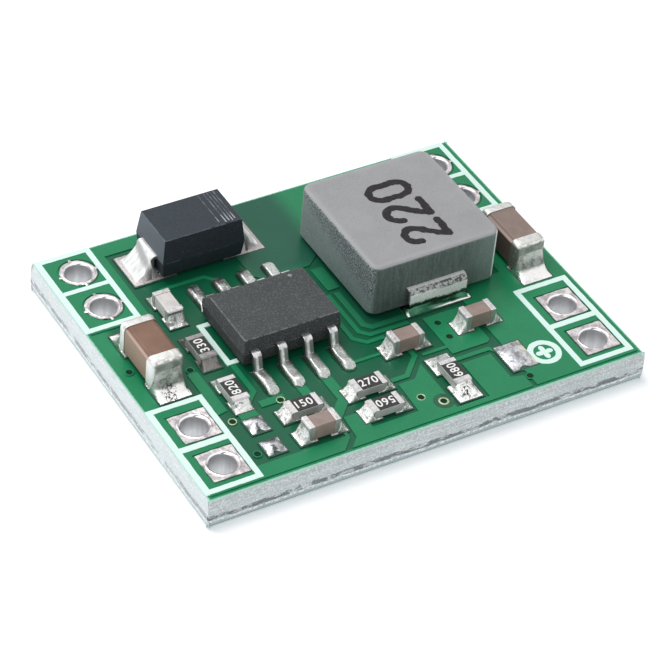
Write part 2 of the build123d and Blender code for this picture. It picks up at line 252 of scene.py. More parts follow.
class Nodes:
    """A node tree built from values."""

    def __init__(self, tree):
        self.tree = tree
        tree.nodes.clear()

    def node(self, kind, settings=None, sockets=None, output=0):
        """Any node: its settings, the values of its sockets, and the output to use."""
        made = self.tree.nodes.new("ShaderNode" + kind)
        for key, value in (settings or {}).items():
            setattr(made, key, value)
        for key, value in (sockets or {}).items():
            if isinstance(value, Value):
                self.tree.links.new(value.socket, made.inputs[key])
            else:
                made.inputs[key].default_value = value
        return Value(self, made.outputs[output]) if made.outputs else None

    def maths(self, operation, first, second):
        """A sum or another rule of two values."""
        return self.node("Math", {"operation": operation}, {0: first, 1: second})


class Shader(Nodes):
    """A material, with the place x, y, z in millimetres and the surface's direction nx, ny, nz."""

    def __init__(self, name):
        self.material = bpy.data.materials.new(name)
        self.material.use_nodes = True
        super().__init__(self.material.node_tree)
        objects = self.node("TexCoord", output="Object")
        self.place = self.node(
            "VectorMath", {"operation": "SCALE"}, {0: objects, "Scale": 1 / MM}
        )
        self.x, self.y, self.z = self.parts(self.place)
        self.nx, self.ny, self.nz = self.parts(self.node("NewGeometry", output="Normal"))

    def parts(self, vector):
        """The three numbers of a vector."""
        return [
            self.node("SeparateXYZ", sockets={"Vector": vector}, output=axis) for axis in "XYZ"
        ]

    def grain(self, scale, detail=3, rough=0.7, stretch=(1, 1, 1), seed=0.0):
        """Noise with the given count of grains per millimetre."""
        moved = self.node(
            "Mapping",
            sockets={
                "Vector": self.place, "Scale": stretch, "Location": (seed, seed * 1.7, seed * 0.6)
            },
        )
        return self.node(
            "TexNoise",
            sockets={"Vector": moved, "Scale": scale, "Detail": detail, "Roughness": rough},
        )

    def cells(self, scale, seed=0.0):
        """Distance to the nearest of many scattered points."""
        moved = self.node("Mapping", sockets={"Vector": self.place, "Location": (seed,) * 3})
        return self.node(
            "TexVoronoi", sockets={"Vector": moved, "Scale": scale}, output="Distance"
        )

    def lit(self, grain, spread=0.5):
        """Painted light: 1 on faces that look up or left and 0 on the others, with a ragged change.
        """
        return (self.nz * 0.8 - self.nx * 0.7 + (grain - 0.5) * spread).ramp(0.15, 0.7)

    def mix(self, factor, first, second):
        """A colour between two others."""
        first, second = (
            tint if isinstance(tint, Value) else (*tint, 1) for tint in (first, second)
        )
        return self.node(
            "Mix", {"data_type": "RGBA"}, {0: factor, 6: first, 7: second}, output=2
        )

    def bump(self, height, depth, strength=1.0):
        """A normal from a height, with its depth in millimetres."""
        return self.node(
            "Bump", sockets={"Height": height, "Distance": depth * MM, "Strength": strength}
        )

    def done(self, **sockets):
        """Closes the material with the main shader's sockets."""
        named = {}
        for key, value in sockets.items():
            label = key.replace("_", " ").title().replace("Ior", "IOR")
            named[label] = value
        if "Base Color" in named and not isinstance(named["Base Color"], Value):
            named["Base Color"] = (*named["Base Color"], 1)
        surface = self.node("BsdfPrincipled", sockets=named)
        self.node("OutputMaterial", sockets={"Surface": surface})
        return self.material


def dress(node, material, soften=0.0, segments=2):
    """Gives a CAD node its finish, and rounds its edges by soften millimetres."""
    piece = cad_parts[node]
    piece.data.materials.clear()
    piece.data.materials.append(material)
    if not soften:
        return
    weld = piece.modifiers.new("weld", "WELD")
    weld.merge_threshold = 0.0005 * MM
    flat = piece.modifiers.new("flat", "DECIMATE")
    flat.decimate_type = "DISSOLVE"
    flat.angle_limit = math.radians(0.5)
    bevel = piece.modifiers.new("soft", "BEVEL")
    bevel.width = soften * MM
    bevel.segments = segments
    bevel.limit_method = "ANGLE"
    bevel.angle_limit = math.radians(25)
    for face in piece.data.polygons:
        face.use_smooth = False


def keep(bm, name, materials, replaces=(), sharp=35):
    """Turns a bmesh in millimetres into a finished piece that rides on the board."""
    bmesh.ops.recalc_face_normals(bm, faces=bm.faces)
    bmesh.ops.scale(bm, vec=(MM, MM, MM), verts=bm.verts)
    mesh = bpy.data.meshes.new(name)
    bm.to_mesh(mesh)
    bm.free()
    mesh.polygons.foreach_set("use_smooth", [True] * len(mesh.polygons))
    mesh.set_sharp_from_angle(angle=math.radians(sharp))
    for material in materials:
        mesh.materials.append(material)
    piece = bpy.data.objects.new(name, mesh)
    bpy.context.scene.collection.objects.link(piece)
    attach(piece, ROOT)
    if replaces:
        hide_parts(*replaces)


def block(bm, low, high):
    """A box between two corners."""
    low, high = Vector(low), Vector(high)
    verts = bmesh.ops.create_cube(bm, size=1)["verts"]
    bmesh.ops.scale(bm, vec=high - low, verts=verts)
    bmesh.ops.translate(bm, vec=(low + high) / 2, verts=verts)
    return verts


def shift(x=0.0, y=0.0, z=0.0):
    """A move as a matrix."""
    return Matrix.Translation((x, y, z))


def spin(degrees, axis="Z"):
    """A turn as a matrix."""
    return Matrix.Rotation(math.radians(degrees), 4, axis)


def edges_at(verts):
    """Every edge that ends at one of the points."""
    return list({edge for vert in verts for edge in vert.link_edges})


def rim_of(verts):
    """The open edges of a sheet."""
    return [edge for edge in edges_at(verts) if edge.is_boundary]


def pull(bm, edges):
    """Draws a new row of points out of edges: the points, and the edges between them."""
    fold = bmesh.ops.extrude_edge_only(bm, edges=edges)["geom"]
    verts = [item for item in fold if isinstance(item, bmesh.types.BMVert)]
    new = [item for item in fold if isinstance(item, bmesh.types.BMEdge)]
    return verts, [edge for edge in new if all(vert in verts for vert in edge.verts)]


def thicken(bm, faces, rise):
    """Gives flat faces a thickness upwards."""
    made = bmesh.ops.extrude_face_region(bm, geom=faces)["geom"]
    verts = [item for item in made if isinstance(item, bmesh.types.BMVert)]
    bmesh.ops.translate(bm, vec=(0, 0, rise), verts=verts)


def heap(bm, place, cells, plan, height, material=0):
    """A closed heap: a grid laid by a plan and raised by a height rule, with a foot below."""
    before = set(bm.faces)
    made = bmesh.ops.create_grid(bm, x_segments=cells[0], y_segments=cells[1], size=0.5)
    verts = made["verts"]
    for vert in verts:
        u, v = vert.co.x + 0.5, vert.co.y * 2
        vert.co = (*plan(u, v), height(u, v))
    lower, closing = pull(bm, rim_of(verts))
    for vert in lower:
        vert.co.z = -SUNK
    bmesh.ops.edgeloop_fill(bm, edges=closing)
    bmesh.ops.transform(bm, matrix=place, verts=verts + lower)
    for face in set(bm.faces) - before:
        face.material_index = material


def lump(x, y, z):
    """Smooth noise of about -1 to 1 at a place."""
    return noise.noise(Vector((x, y, z)))


def wobble(point, size, amount, seed=0.0):
    """A small smooth offset that depends on the place."""
    return amount * lump(*(Vector(point) / size + Vector((seed, seed * 2.3, seed * 0.7))))


def waver(bm, size, amount, seed):
    """Moves every point a little in plan, as printed ink wavers."""
    for vert in bm.verts:
        spot = vert.co.copy()
        vert.co.x += wobble(spot, size, amount, seed)
        vert.co.y += wobble(spot, size, amount, seed + 4)


def speckled(
    name, scale, limits, first, second, rough, detail=3, share=1.0, spread=0.0, grit=0.0, **more
):
    """A plain finish: fine noise between two colours, with other sockets as given."""
    finish = Shader(name)
    fine = finish.grain(scale, detail)
    if grit:
        more["normal"] = finish.bump(fine, grit)
    return finish.done(
        base_color=finish.mix(fine.ramp(*limits) * share, first, second),
        roughness=fine * spread + rough if spread else rough, **more,
    )


# Board


def mask_green(finish, colours):
    """Colour of the mask over copper, greyed by painted shade and painted reflection of the coil
    and the diode between them, and darkened by painted shade in the gap between the chip and the
    coil.
    """
    copper = colours.mask_on_copper
    cloud, fine = finish.grain(0.35, 3, 0.6), finish.grain(7, seed=3)
    lighter = tuple(level * 1.1 + 0.004 for level in copper)
    green = finish.mix(cloud.ramp(0.35, 0.7), dim(copper, 0.9), copper)
    green = finish.mix(fine.ramp(0.45, 0.8) * 0.5, green, lighter)
    # Painted shade and painted reflection: greyer between the diode and the coil, on the top side
    # only
    grey = finish.x.between(-3.2, -1.8, 0.8, 2.0) * finish.y.ramp(2.4, 3.6)
    green = finish.mix(grey * finish.z.ramp(*TOP_SIDE) * 0.85, green, colours.mask_painted_shade)
    return painted_shade_beside_coil(finish, green)


def painted_shade_beside_coil(finish, green):
    """Paints shade on the green in the narrow gap between the chip and the coil."""
    gap = finish.x.between(0.0, 1.0, 2.8, 3.4) * finish.y.between(-3.2, -1.2, 4.2, 5.4)
    return finish.mix(gap * finish.z.ramp(*TOP_SIDE) * 0.6, green, paint(20, 70, 54))


def mask_finish(name, colours):
    """Green mask over copper: glossy, with faint mottling."""
    finish = Shader(name)
    fine = finish.grain(7, seed=5)
    height = fine * 0.4 + finish.grain(0.5, 2, 0.5, seed=9)
    return finish.done(
        base_color=mask_green(finish, colours), roughness=fine * 0.1 + 0.24,
        normal=finish.bump(height, 0.012), specular_ior_level=0.28,
    )


def face_green(finish, colours, fine):
    """Green of the laminate's two faces: dark, but for the margin outside the copper."""
    cloud = finish.grain(0.5, 2, 0.5, seed=2)
    bare = colours.mask_on_board
    green = painted_shade_beside_coil(finish, finish.mix(cloud, dim(bare, 0.82), bare))
    reach = (finish.x.size() - COPPER_EDGE[0]).most(finish.y.size() - COPPER_EDGE[1])
    green = finish.mix(reach.ramp(0.0, 0.03), green, mask_green(finish, colours))
    left = (cloud * 0.4 - finish.x).ramp(9.9, 10.4)
    green = finish.mix(left, green, colours.mask_on_copper)
    return finish.mix((reach + fine * 0.08).ramp(0.14, 0.2), green, colours.mask_rim)


def laminate_finish(name, colours):
    """Laminate: green on its two faces, pale glass fibre at its cut edges, painted lighter on the
    edge that faces left and painted darker at the foot.
    """
    finish = Shader(name)
    z, fine = finish.z, finish.grain(6, 3, 0.65, seed=8)
    # Painted light: the cut edge that faces left is painted whiter, with less grit and grey, paler
    # flecks and less shade at its foot
    left = (-finish.nx).ramp(0.4, 0.8)
    layers = finish.grain(3.2, 4, stretch=(0.25, 0.25, 5), seed=5)
    dust = finish.grain(11, 4, 0.8, seed=1)
    pale = finish.mix(layers.ramp(0.4, 0.7), dim(colours.laminate, 0.72), colours.laminate)
    grit = dust.ramp(0.48, 0.62) * (0.55 - left * 0.3)
    pale = finish.mix(grit, pale, paint(160, 171, 173))
    pale = finish.mix(dust.fall(0.36, 0.48) * 0.8, pale, paint(248, 250, 250))
    pale = finish.mix(left * 0.4, pale, paint(240, 247, 248))
    # Long grey breaks in the lower half, with a wavering white seam below them
    wave = finish.grain(0.5, 2, 0.5, stretch=(1, 1, 0.1), seed=4)
    torn = finish.grain(5, 4, 0.75, stretch=(1, 1, 0.6), seed=17)
    level = z + (wave - 0.5) * 0.22 + (torn - 0.5) * 0.3
    low = level.fall(0.3, 0.42) * (1 - left * 0.5)
    pale = finish.mix(low * 0.85, pale, paint(176, 190, 194))
    seam = level.between(0.26, 0.34, 0.42, 0.5) * torn.ramp(0.42, 0.56)
    pale = finish.mix(seam * 0.9, pale, paint(248, 250, 251))
    broken = finish.grain(2.2, 5, 0.75, stretch=(0.5, 0.5, 1.3), seed=13).ramp(0.47, 0.52)
    broken = level.between(0.44, 0.5, 0.68, 0.76) * broken * (1 - dust.ramp(0.54, 0.62) * 0.6)
    fleck = finish.mix(left, colours.fleck, paint(186, 188, 194))
    pale = finish.mix(broken, pale, fleck)
    # Painted shade at the foot, less on the left edge, and a rim that the mask tints
    ragged = z + (dust - 0.5) * 0.1
    foot = ragged.fall(0.07, 0.16) * (0.7 - left * 0.4)
    pale = finish.mix(foot, pale, paint(142, 150, 154))
    tint = tuple((a + b) / 2 for a, b in zip(colours.laminate, colours.mask_rim))
    pale = finish.mix(ragged.ramp(1.44, 1.55) * 0.8, pale, tint)
    face = finish.nz.size().ramp(0.97, 0.999)
    height = (dust + layers - broken * 1.2) * (1 - face) + fine * 0.15
    return finish.done(
        base_color=finish.mix(face, pale, face_green(finish, colours, fine)),
        roughness=0.72 - face * 0.44, normal=finish.bump(height, 0.03), specular_ior_level=0.3,
    )


def outline_finish(name, tint):
    """Mask that is thin and dark, as around a pad."""
    return speckled(name, 9, (0.35, 0.65), dim(tint, 0.5), tint, 0.4, spread=0.3, grit=0.01)


def cut_edge(bm, start, end, low, high, out, seed):
    """One broken board edge: a fine sheet whose points stand out like torn fibres."""
    start, end, out = Vector(start), Vector(end), Vector(out)
    way, cell = end - start, 0.09
    # Height and depth of the slanted rims, and middle and spread of the torn band
    taper, slant, breaks, spread = 0.4, 0.09, 0.62, 0.17
    # Deepest point, length over which the ends fade, and depth of the lid behind the sheet
    deepest, fade, behind = -0.03, 0.12, 0.05
    made = bmesh.ops.create_grid(
        bm, x_segments=int(way.length / cell), y_segments=22, size=0.5
    )
    for vert in made["verts"]:
        run, rise = vert.co.x + 0.5, vert.co.y + 0.5
        x, y, _ = start + way * run
        z = low + rise * (high - low)
        # A fine grain everywhere, and a torn band at the height of the breaks
        stand = 0.012 + 0.010 * lump(x * 3 + seed, y * 3, z * 9)
        stand += 0.008 * lump(x * 1.1, y * 1.1 + seed, z * 26)
        stand += 0.006 * lump(x * 9, y * 9, z * 1.5 + seed)
        torn = math.exp(-(((z - breaks) / spread) ** 2))
        stand += torn * (0.03 * lump(x * 2, y * 2, seed) - 0.012)
        corner = min(1.0, min(run, 1 - run) * way.length / fade)
        flush = 1.0 if 0 < rise < 1 else 0.0
        slope = max(0.0, z - (high - taper), (low + taper) - z) / taper
        depth = max(deepest, stand) * flush * corner - slant * slope
        vert.co = Vector((x, y, z)) + out * depth
    inner, lid = pull(bm, rim_of(made["verts"]))
    bmesh.ops.translate(bm, vec=-out * behind, verts=inner)
    half = (high + low) / 2
    for vert in inner:
        vert.co.z += math.copysign(0.02, half - vert.co.z)
    bmesh.ops.edgeloop_fill(bm, edges=lid)


class BOARD_OT_laminate(bpy.types.Operator):
    """Green mask on both faces and torn glass fibre along the cut edges"""

    bl_idname = "board.laminate"
    bl_label = "Laminate and copper"

    def execute(self, context):
        colours = context.scene.board_finish
        mask = mask_finish("green_mask", colours)
        laminate = laminate_finish("laminate", colours)
        dress("top_copper", mask)
        dress("bottom_copper", mask)
        dress("circuit_board", laminate)
        low, high = box("circuit_board")
        bm = bmesh.new()
        corners = [(low.x, low.y, 0), (high.x, low.y, 0), (high.x, high.y, 0), (low.x, high.y, 0)]
        sides = [(0, -1, 0), (1, 0, 0), (0, 1, 0), (-1, 0, 0)]
        for number, out in enumerate(sides):
            start, end = corners[number], corners[(number + 1) % 4]
            cut_edge(bm, start, end, low.z, high.z, out, 7.0 * number + 1.3)
        keep(bm, "cut_edges", [laminate], sharp=60)
        return {"FINISHED"}


# Plated holes and vias


def metal_finish(
    name, metal, rough, bright=None, dark=None, patches=0.5, scale=5.0, grit=0.006, seed=0.0,
    even=0.0,
):
    """Tinned metal or solder: painted bright above and painted grey shade on its front, with dull
    patches; even makes the painted light more even.
    """
    finish = Shader(name)
    cloud = finish.grain(scale, 4, 0.65, seed=seed)
    fine = finish.grain(scale * 6, seed=seed + 4)
    spots = finish.cells(scale * 3.5, seed=seed + 2)
    dull = cloud.ramp(0.5, 0.68) * patches + fine.ramp(0.5, 0.75) * patches * 0.5
    dull = dull + spots.fall(0.05, 0.3) * patches * 0.25
    # Painted light and shade by the way a face looks
    tint = finish.mix(finish.lit(cloud) * (1 - even) + even, metal.shade, bright or metal.tin)
    tint = finish.mix(dull, tint, dark or metal.tin_dark)
    return finish.done(
        base_color=tint, metallic=1 - even * 0.9, roughness=dull * 0.25 + rough,
        normal=finish.bump(cloud * 2 + fine * 0.5, grit * 2),
    )


def grow(bm, count, rings):
    """A skin through rings of radius and height: its rows of points, and its last edges."""
    rows = [bmesh.ops.create_circle(bm, segments=count, radius=rings[0][0])["verts"]]
    for vert in rows[0]:
        vert.co.z = rings[0][1]
    edges = edges_at(rows[0])
    for radius, z in rings[1:]:
        verts, edges = pull(bm, edges)
        for vert in verts:
            vert.co = (*(vert.co.xy.normalized() * radius), z)
        rows.append(verts)
    return rows, edges


def squared(vert, half, corner):
    """Moves a point of a ring out to a square with clipped corners."""
    spot = vert.co.xy * (half / max(abs(vert.co.x), abs(vert.co.y)))
    over = max(0.0, abs(spot.x) + abs(spot.y) - (2 * half - corner))
    vert.co.x = spot.x - math.copysign(over / 2, spot.x)
    vert.co.y = spot.y - math.copysign(over / 2, spot.y)


def eyelet(bore, loops, centre, square, seed):
    """A tinned hole: rings from one land through the bore to the other land."""
    bm = bmesh.new()
    rows, _ = grow(bm, 72, loops)
    if square:
        for row in (*rows[:3], *rows[-2:]):
            for vert in row:
                squared(vert, square, 0.02)
    for face in bm.faces:
        reach = face.calc_center_median().xy.length
        face.material_index = 1 if reach < bore * 1.02 else 0
    for vert in bm.verts:
        if vert.co.z > BOARD_TOP / 2:
            spot = vert.co + Vector(centre)
            vert.co.z += wobble(spot, 0.3, 0.012, seed)
            if vert.co.xy.length > bore + 0.05:
                vert.co.x += wobble(spot, 0.3, 0.03, seed + 3)
                vert.co.y += wobble(spot, 0.3, 0.03, seed + 6)
    bmesh.ops.bridge_loops(bm, edges=[edge for edge in bm.edges if edge.is_boundary])
    bmesh.ops.translate(bm, vec=centre, verts=bm.verts)
    return bm


HOLES = range(1, 9)
ROUND_HOLES = (1, 2, 5, 6)
# Radius of a plated hole
BORE = 0.6

# Vias: place, whether the ring is bare metal, and the radius of a gap around it
VIAS = (
    (-7.78, -4.61, True, 0), (-7.78, -6.82, False, 0), (-7.89, -0.96, False, 0),
    (-5.25, -4.28, True, 0), (-10.32, 0.06, False, 0), (0.35, -6.74, True, 0),
    (1.12, -7.37, True, 0.48), (3.57, -2.85, False, 0), (3.57, -3.86, False, 0),
    (5.43, -7.6, False, 0),
)


def land_loops(node, bore):
    """Rings of a land: radius and height, from the upper outer edge to the lower."""
    low, high = box(node)
    outer, top = (high.x - low.x) / 2, high.z
    upper = [
        (outer, BOARD_TOP), (outer - 0.015, top - 0.012), (outer - 0.09, top),
        (bore + 0.22, top - 0.002), (bore + 0.18, top - 0.008), (bore + 0.15, top + 0.016),
        (bore + 0.12, top + 0.018), (bore + 0.02, top - 0.05), (bore, top - 0.1),
    ]
    lower = [(bore, low.z + 0.03), (bore + 0.05, low.z), (outer, low.z), (outer, low.z + 0.03)]
    return upper + lower


class BOARD_OT_holes(bpy.types.Operator):
    """Plated holes with their lands, the spokes of the round ones and the vias"""

    bl_idname = "board.holes"
    bl_label = "Holes and vias"

    def execute(self, context):
        metal = context.scene.board_metal
        land, barrel = self.land_finish(metal), self.barrel_finish(metal)
        for number in HOLES:
            node = f"plated_hole_{number}"
            centre = middle(node)
            loops = land_loops(node, BORE)
            square = 0 if number in ROUND_HOLES else loops[0][0]
            bm = eyelet(BORE, loops, (centre.x, centre.y, 0), square, number)
            keep(bm, f"hole_{number}", [land, barrel], [node], sharp=50)
        self.spokes(land)
        self.vias(context)
        return {"FINISHED"}

    def land_finish(self, metal):
        """Mottled grey tin, with a painted highlight on the raised rim of the bore."""
        finish = Shader("land_tin")
        cloud = finish.grain(2.4, 4)
        fine = finish.grain(12, seed=4)
        tint = finish.mix(cloud.ramp(0.38, 0.62), metal.land, paint(168, 160, 164))
        tint = finish.mix(fine.ramp(0.5, 0.75) * 0.4, tint, metal.tin_dark)
        # Painted highlight: the raised rim is white where it faces the front, but for one dark
        # notch of painted shade
        rim = (-finish.ny).ramp(0.2, 0.4) * finish.nz.fall(0.85, 0.95)
        notch = (finish.nx + 0.33 + (fine - 0.5) * 0.1).near(0.04, 0.12)
        tint = finish.mix(notch * rim, tint, metal.shade)
        tint = finish.mix(rim * (1 - notch), tint, paint(250, 251, 250))
        crest = (finish.z + cloud * 0.012).ramp(1.64, 1.65)
        tint = finish.mix(crest * 0.35, tint, metal.solder)
        return finish.done(
            base_color=tint, metallic=1.0, roughness=cloud * 0.1 + 0.32,
            normal=finish.bump(cloud * 2 + fine * 0.5, 0.012),
        )

    def barrel_finish(self, metal):
        """Satin wall with upright streaks, kept pale below as painted light and darkened towards
        the upper rim by painted shade.
        """
        finish = Shader("barrel_tin")
        cloud = finish.grain(2.5, 4, 0.65)
        streak = finish.grain(3.5, 3, 0.6, stretch=(1, 1, 0.15), seed=3)
        z = finish.z + (cloud - 0.5) * 0.2
        tint = finish.mix(streak.ramp(0.4, 0.65) * 0.18, metal.barrel, metal.tin_dark)
        # Painted shade towards the upper rim
        tint = finish.mix(z.ramp(0.6, 1.5) * 0.75, tint, paint(138, 137, 141))
        return finish.done(
            base_color=tint, metallic=0.5, roughness=cloud * 0.1 + 0.4,
            normal=finish.bump(cloud, 0.01),
        )

    def spokes(self, land):
        """Four short spokes that join each round land to the copper around it."""
        lie = Matrix.Diagonal((1, 1, 0.35, 1)) @ spin(90, "Y")
        bm = bmesh.new()
        for number in ROUND_HOLES:
            low, high = box(f"plated_hole_{number}")
            centre, outer = (low + high) / 2, (high.x - low.x) / 2
            for turn in (0, 90, 180, 270):
                made = bmesh.ops.create_cone(
                    bm, cap_ends=True, segments=10, radius1=0.1, radius2=0.05, depth=0.14
                )
                place = shift(centre.x, centre.y, COPPER_TOP) @ spin(turn) @ shift(outer + 0.03)
                bmesh.ops.transform(bm, matrix=place @ lie, verts=made["verts"])
        keep(bm, "land_spokes", [land])

    def vias(self, context):
        """A ring and a floor of painted shade for each via, and a gap in the mask around one."""
        colours, metal = context.scene.board_finish, context.scene.board_metal
        sizes = context.scene.board_sizes
        # Painted shade: a dark disc stands for the inside of the via's hole
        finish = Shader("via_painted_shade")
        deep = finish.done(
            base_color=finish.mix(finish.grain(12, 2, 0.6), paint(10, 34, 24), paint(26, 66, 46)),
            roughness=0.8, specular_ior_level=0.1,
        )
        gold = metal_finish("via_ring", metal, 0.35, metal.gold, patches=0.4)
        mask = mask_finish("via_mask", colours)
        thin = outline_finish("via_gap", dim(colours.mask_on_board, 0.9))
        edge, bore = sizes.via_radius / MM, sizes.via_bore / MM
        sunk, flush = COPPER_TOP - SUNK, COPPER_TOP + 0.002
        rings = [
            (edge, sunk), (edge - 0.02, COPPER_TOP + 0.012),
            (bore + 0.02, COPPER_TOP + 0.014), (bore, COPPER_TOP + 0.008), (bore - 0.01, flush),
        ]
        bm = bmesh.new()
        for x, y, bare, gap in VIAS:
            before = set(bm.faces)
            around = [(gap, sunk), (gap - 0.01, flush), (edge + 0.03, flush)]
            rows, last = grow(bm, 32, around + rings[1:] if gap else rings)
            bmesh.ops.edgeloop_fill(bm, edges=last)
            for face in set(bm.faces) - before:
                reach = face.calc_center_median().xy.length
                ring = 3 if reach > edge + 0.02 else (0 if bare else 1)
                face.material_index = 2 if reach < bore else ring
            bmesh.ops.translate(bm, vec=(x, y, 0), verts=[vert for row in rows for vert in row])
        keep(bm, "vias", [gold, mask, deep, thin])


# White print


# Frames of the white print: left, right, front, back, and front and back of the middle bar
FRAMES = (
    (-10.9, -8.18, 3.05, 8.4, 5.73, 5.98), (-10.9, -8.17, -8.12, -2.51, -5.45, -5.13),
    (7.8, 10.62, -8.08, -2.46, -5.43, -5.13), (7.8, 10.62, 3.05, 8.4, 5.78, 6.04),
)
# Bars of the bracket beside the chip: left, front, right and back
BRACKET = (
    (-6.28, -1.38, -6.03, 1.53), (-6.03, 1.28, -5.7, 1.53), (-6.03, -1.38, -5.7, -1.13),
)
# Plus sign: its place, and the radii of the ring around it
PLUS_PLACE = (6.86, -6.56)
PLUS_RING = (0.5, 0.78)


class BOARD_OT_print(bpy.types.Operator):
    """White lines around the holes, the bracket by the chip and the plus sign"""

    bl_idname = "board.print"
    bl_label = "White print"

    def execute(self, context):
        colours, sizes = context.scene.board_finish, context.scene.board_sizes
        white = speckled(
            "white_print", 9, (0.62, 0.8), colours.print_white, paint(170, 214, 196), 0.55,
            share=0.35, grit=0.008,
        )
        width = sizes.print_width / MM
        low, high = BOARD_TOP - SUNK, COPPER_TOP + sizes.print_height / MM
        bars = list(BRACKET)
        for left, right, front, back, lower, upper in FRAMES:
            start, end = left + width, right - width
            bars += [(left, front, start, back), (end, front, right, back)]
            for near, far in ((front, front + width), (back - width, back), (lower, upper)):
                bars.append((start, near, end, far))
        bm = bmesh.new()
        for x0, y0, x1, y1 in bars:
            block(bm, (x0, y0, low), (x1, y1, high))
        edges = [edge for edge in bm.edges if edge.calc_length() > 0.6]
        bmesh.ops.subdivide_edges(bm, edges=edges, cuts=24, use_grid_fill=True)
        waver(bm, 0.25, 0.016, 1)
        keep(bm, "white_lines", [white])
        self.plus_sign(white, low, high)
        return {"FINISHED"}

    def plus_sign(self, white, low, high):
        """A ring, and inside it a plus sign with rounded arms."""
        bm = bmesh.new()
        bmesh.ops.create_circle(bm, segments=56, radius=PLUS_RING[1])
        for vert in pull(bm, list(bm.edges))[0]:
            vert.co = vert.co.normalized() * PLUS_RING[0]
        thicken(bm, list(bm.faces), high - low)
        arms = bmesh.ops.create_circle(bm, cap_ends=True, segments=64, radius=1)["verts"]
        waist, arm = 0.16, 0.27
        for vert in arms:
            turn = math.atan2(vert.co.y, vert.co.x)
            vert.co *= waist + arm * abs(math.cos(2 * turn)) ** 1.4
        thicken(bm, list({face for vert in arms for face in vert.link_faces}), high - low)
        bmesh.ops.translate(bm, vec=(*PLUS_PLACE, low), verts=bm.verts)
        waver(bm, 0.15, 0.02, 2)
        keep(bm, "plus_sign", [white])


# Numbers


def add_number(bm, text, place):
    """Adds small plain digits to a bmesh, centred on a place given as a matrix."""
    curve = bpy.data.curves.new("digits", "FONT")
    curve.body, curve.size, curve.space_character = text, 0.6, 1.1
    curve.extrude, curve.offset, curve.resolution_u = 0.006, 0.008, 6
    holder = bpy.data.objects.new("digits", curve)
    bpy.context.scene.collection.objects.link(holder)
    bpy.context.view_layer.update()
    ready = bpy.context.evaluated_depsgraph_get()
    mesh = bpy.data.meshes.new_from_object(holder.evaluated_get(ready))
    before = set(bm.verts)
    bm.from_mesh(mesh)
    bpy.data.objects.remove(holder)
    bpy.data.curves.remove(curve)
    bpy.data.meshes.remove(mesh)
    verts = [vert for vert in bm.verts if vert not in before]
    low = Vector([min(vert.co[i] for vert in verts) for i in range(3)])
    high = Vector([max(vert.co[i] for vert in verts) for i in range(3)])
    narrow = Matrix.Diagonal((0.95, 1, 1, 1)) @ shift(*(low + high) / -2)
    bmesh.ops.transform(bm, matrix=place @ narrow, verts=verts)
    bmesh.ops.remove_doubles(bm, verts=verts, dist=0.0005)


# Coil

# Place of the number on the coil, and left edge of each of its digits
NUMBER_PLACE = (4.3, 1.6)
DIGIT_PLACES = (-2.1, -0.5, 1.1)
# Strokes of the hand-cut digits, in a cell 1 wide and 2 high
DIGITS = {
    "2": [
        [(0.0, 1.42), (0.1, 1.78), (0.36, 1.97), (0.68, 1.95), (0.95, 1.72), (0.97, 1.38),
         (0.72, 1.02), (0.3, 0.5), (0.04, 0.08)],
        [(0.0, 0.0), (0.35, 0.03), (0.7, -0.02), (1.05, 0.02)],
    ],
    "0": [
        [(0.5, -0.02), (0.14, 0.12), (0.0, 0.5), (0.02, 1.0), (0.0, 1.5), (0.16, 1.86),
         (0.5, 1.98), (0.84, 1.88), (1.0, 1.5), (0.97, 1.0), (1.0, 0.5), (0.86, 0.12),
         (0.5, -0.02)],
    ],
}


def along(points, run):
    """The place at a distance along a line of points, straight on beyond its ends."""
    spots = [Vector((*point, 0)) for point in points]
    for start, end in zip(spots, spots[1:]):
        piece = (end - start).length
        if run <= piece or end is spots[-1]:
            return start + (end - start) * (run / piece)
        run -= piece


def stroke(bm, points, half, place, seed):
    """A pen stroke along points: round at its ends, with sides that waver."""
    spots = [Vector((*point, 0)) for point in points]
    total = sum((b - a).length for a, b in zip(spots, spots[1:]))
    blend = 0.12

    def plan(u, v):
        run = (total + 2 * half) * u - half
        before, spot, after = (along(points, run + step) for step in (-blend, 0, blend))
        if 0 < run < total:
            spot = (before + after + spot) / 3
        way = (after - before).normalized()
        over = max(0.0, -run, run - total) / half
        wide = half * math.sqrt(max(0.0, 1 - over * over))
        wide *= 1 + wobble((run, v, 0), 0.22, 0.3, seed)
        spot = spot + Vector((-way.y, way.x, 0)) * max(wide, 0.01) * v
        return spot.x, spot.y

    heap(bm, place, (int(total / 0.05), 2), plan, lambda u, v: 0.01 + 0.006 * u)


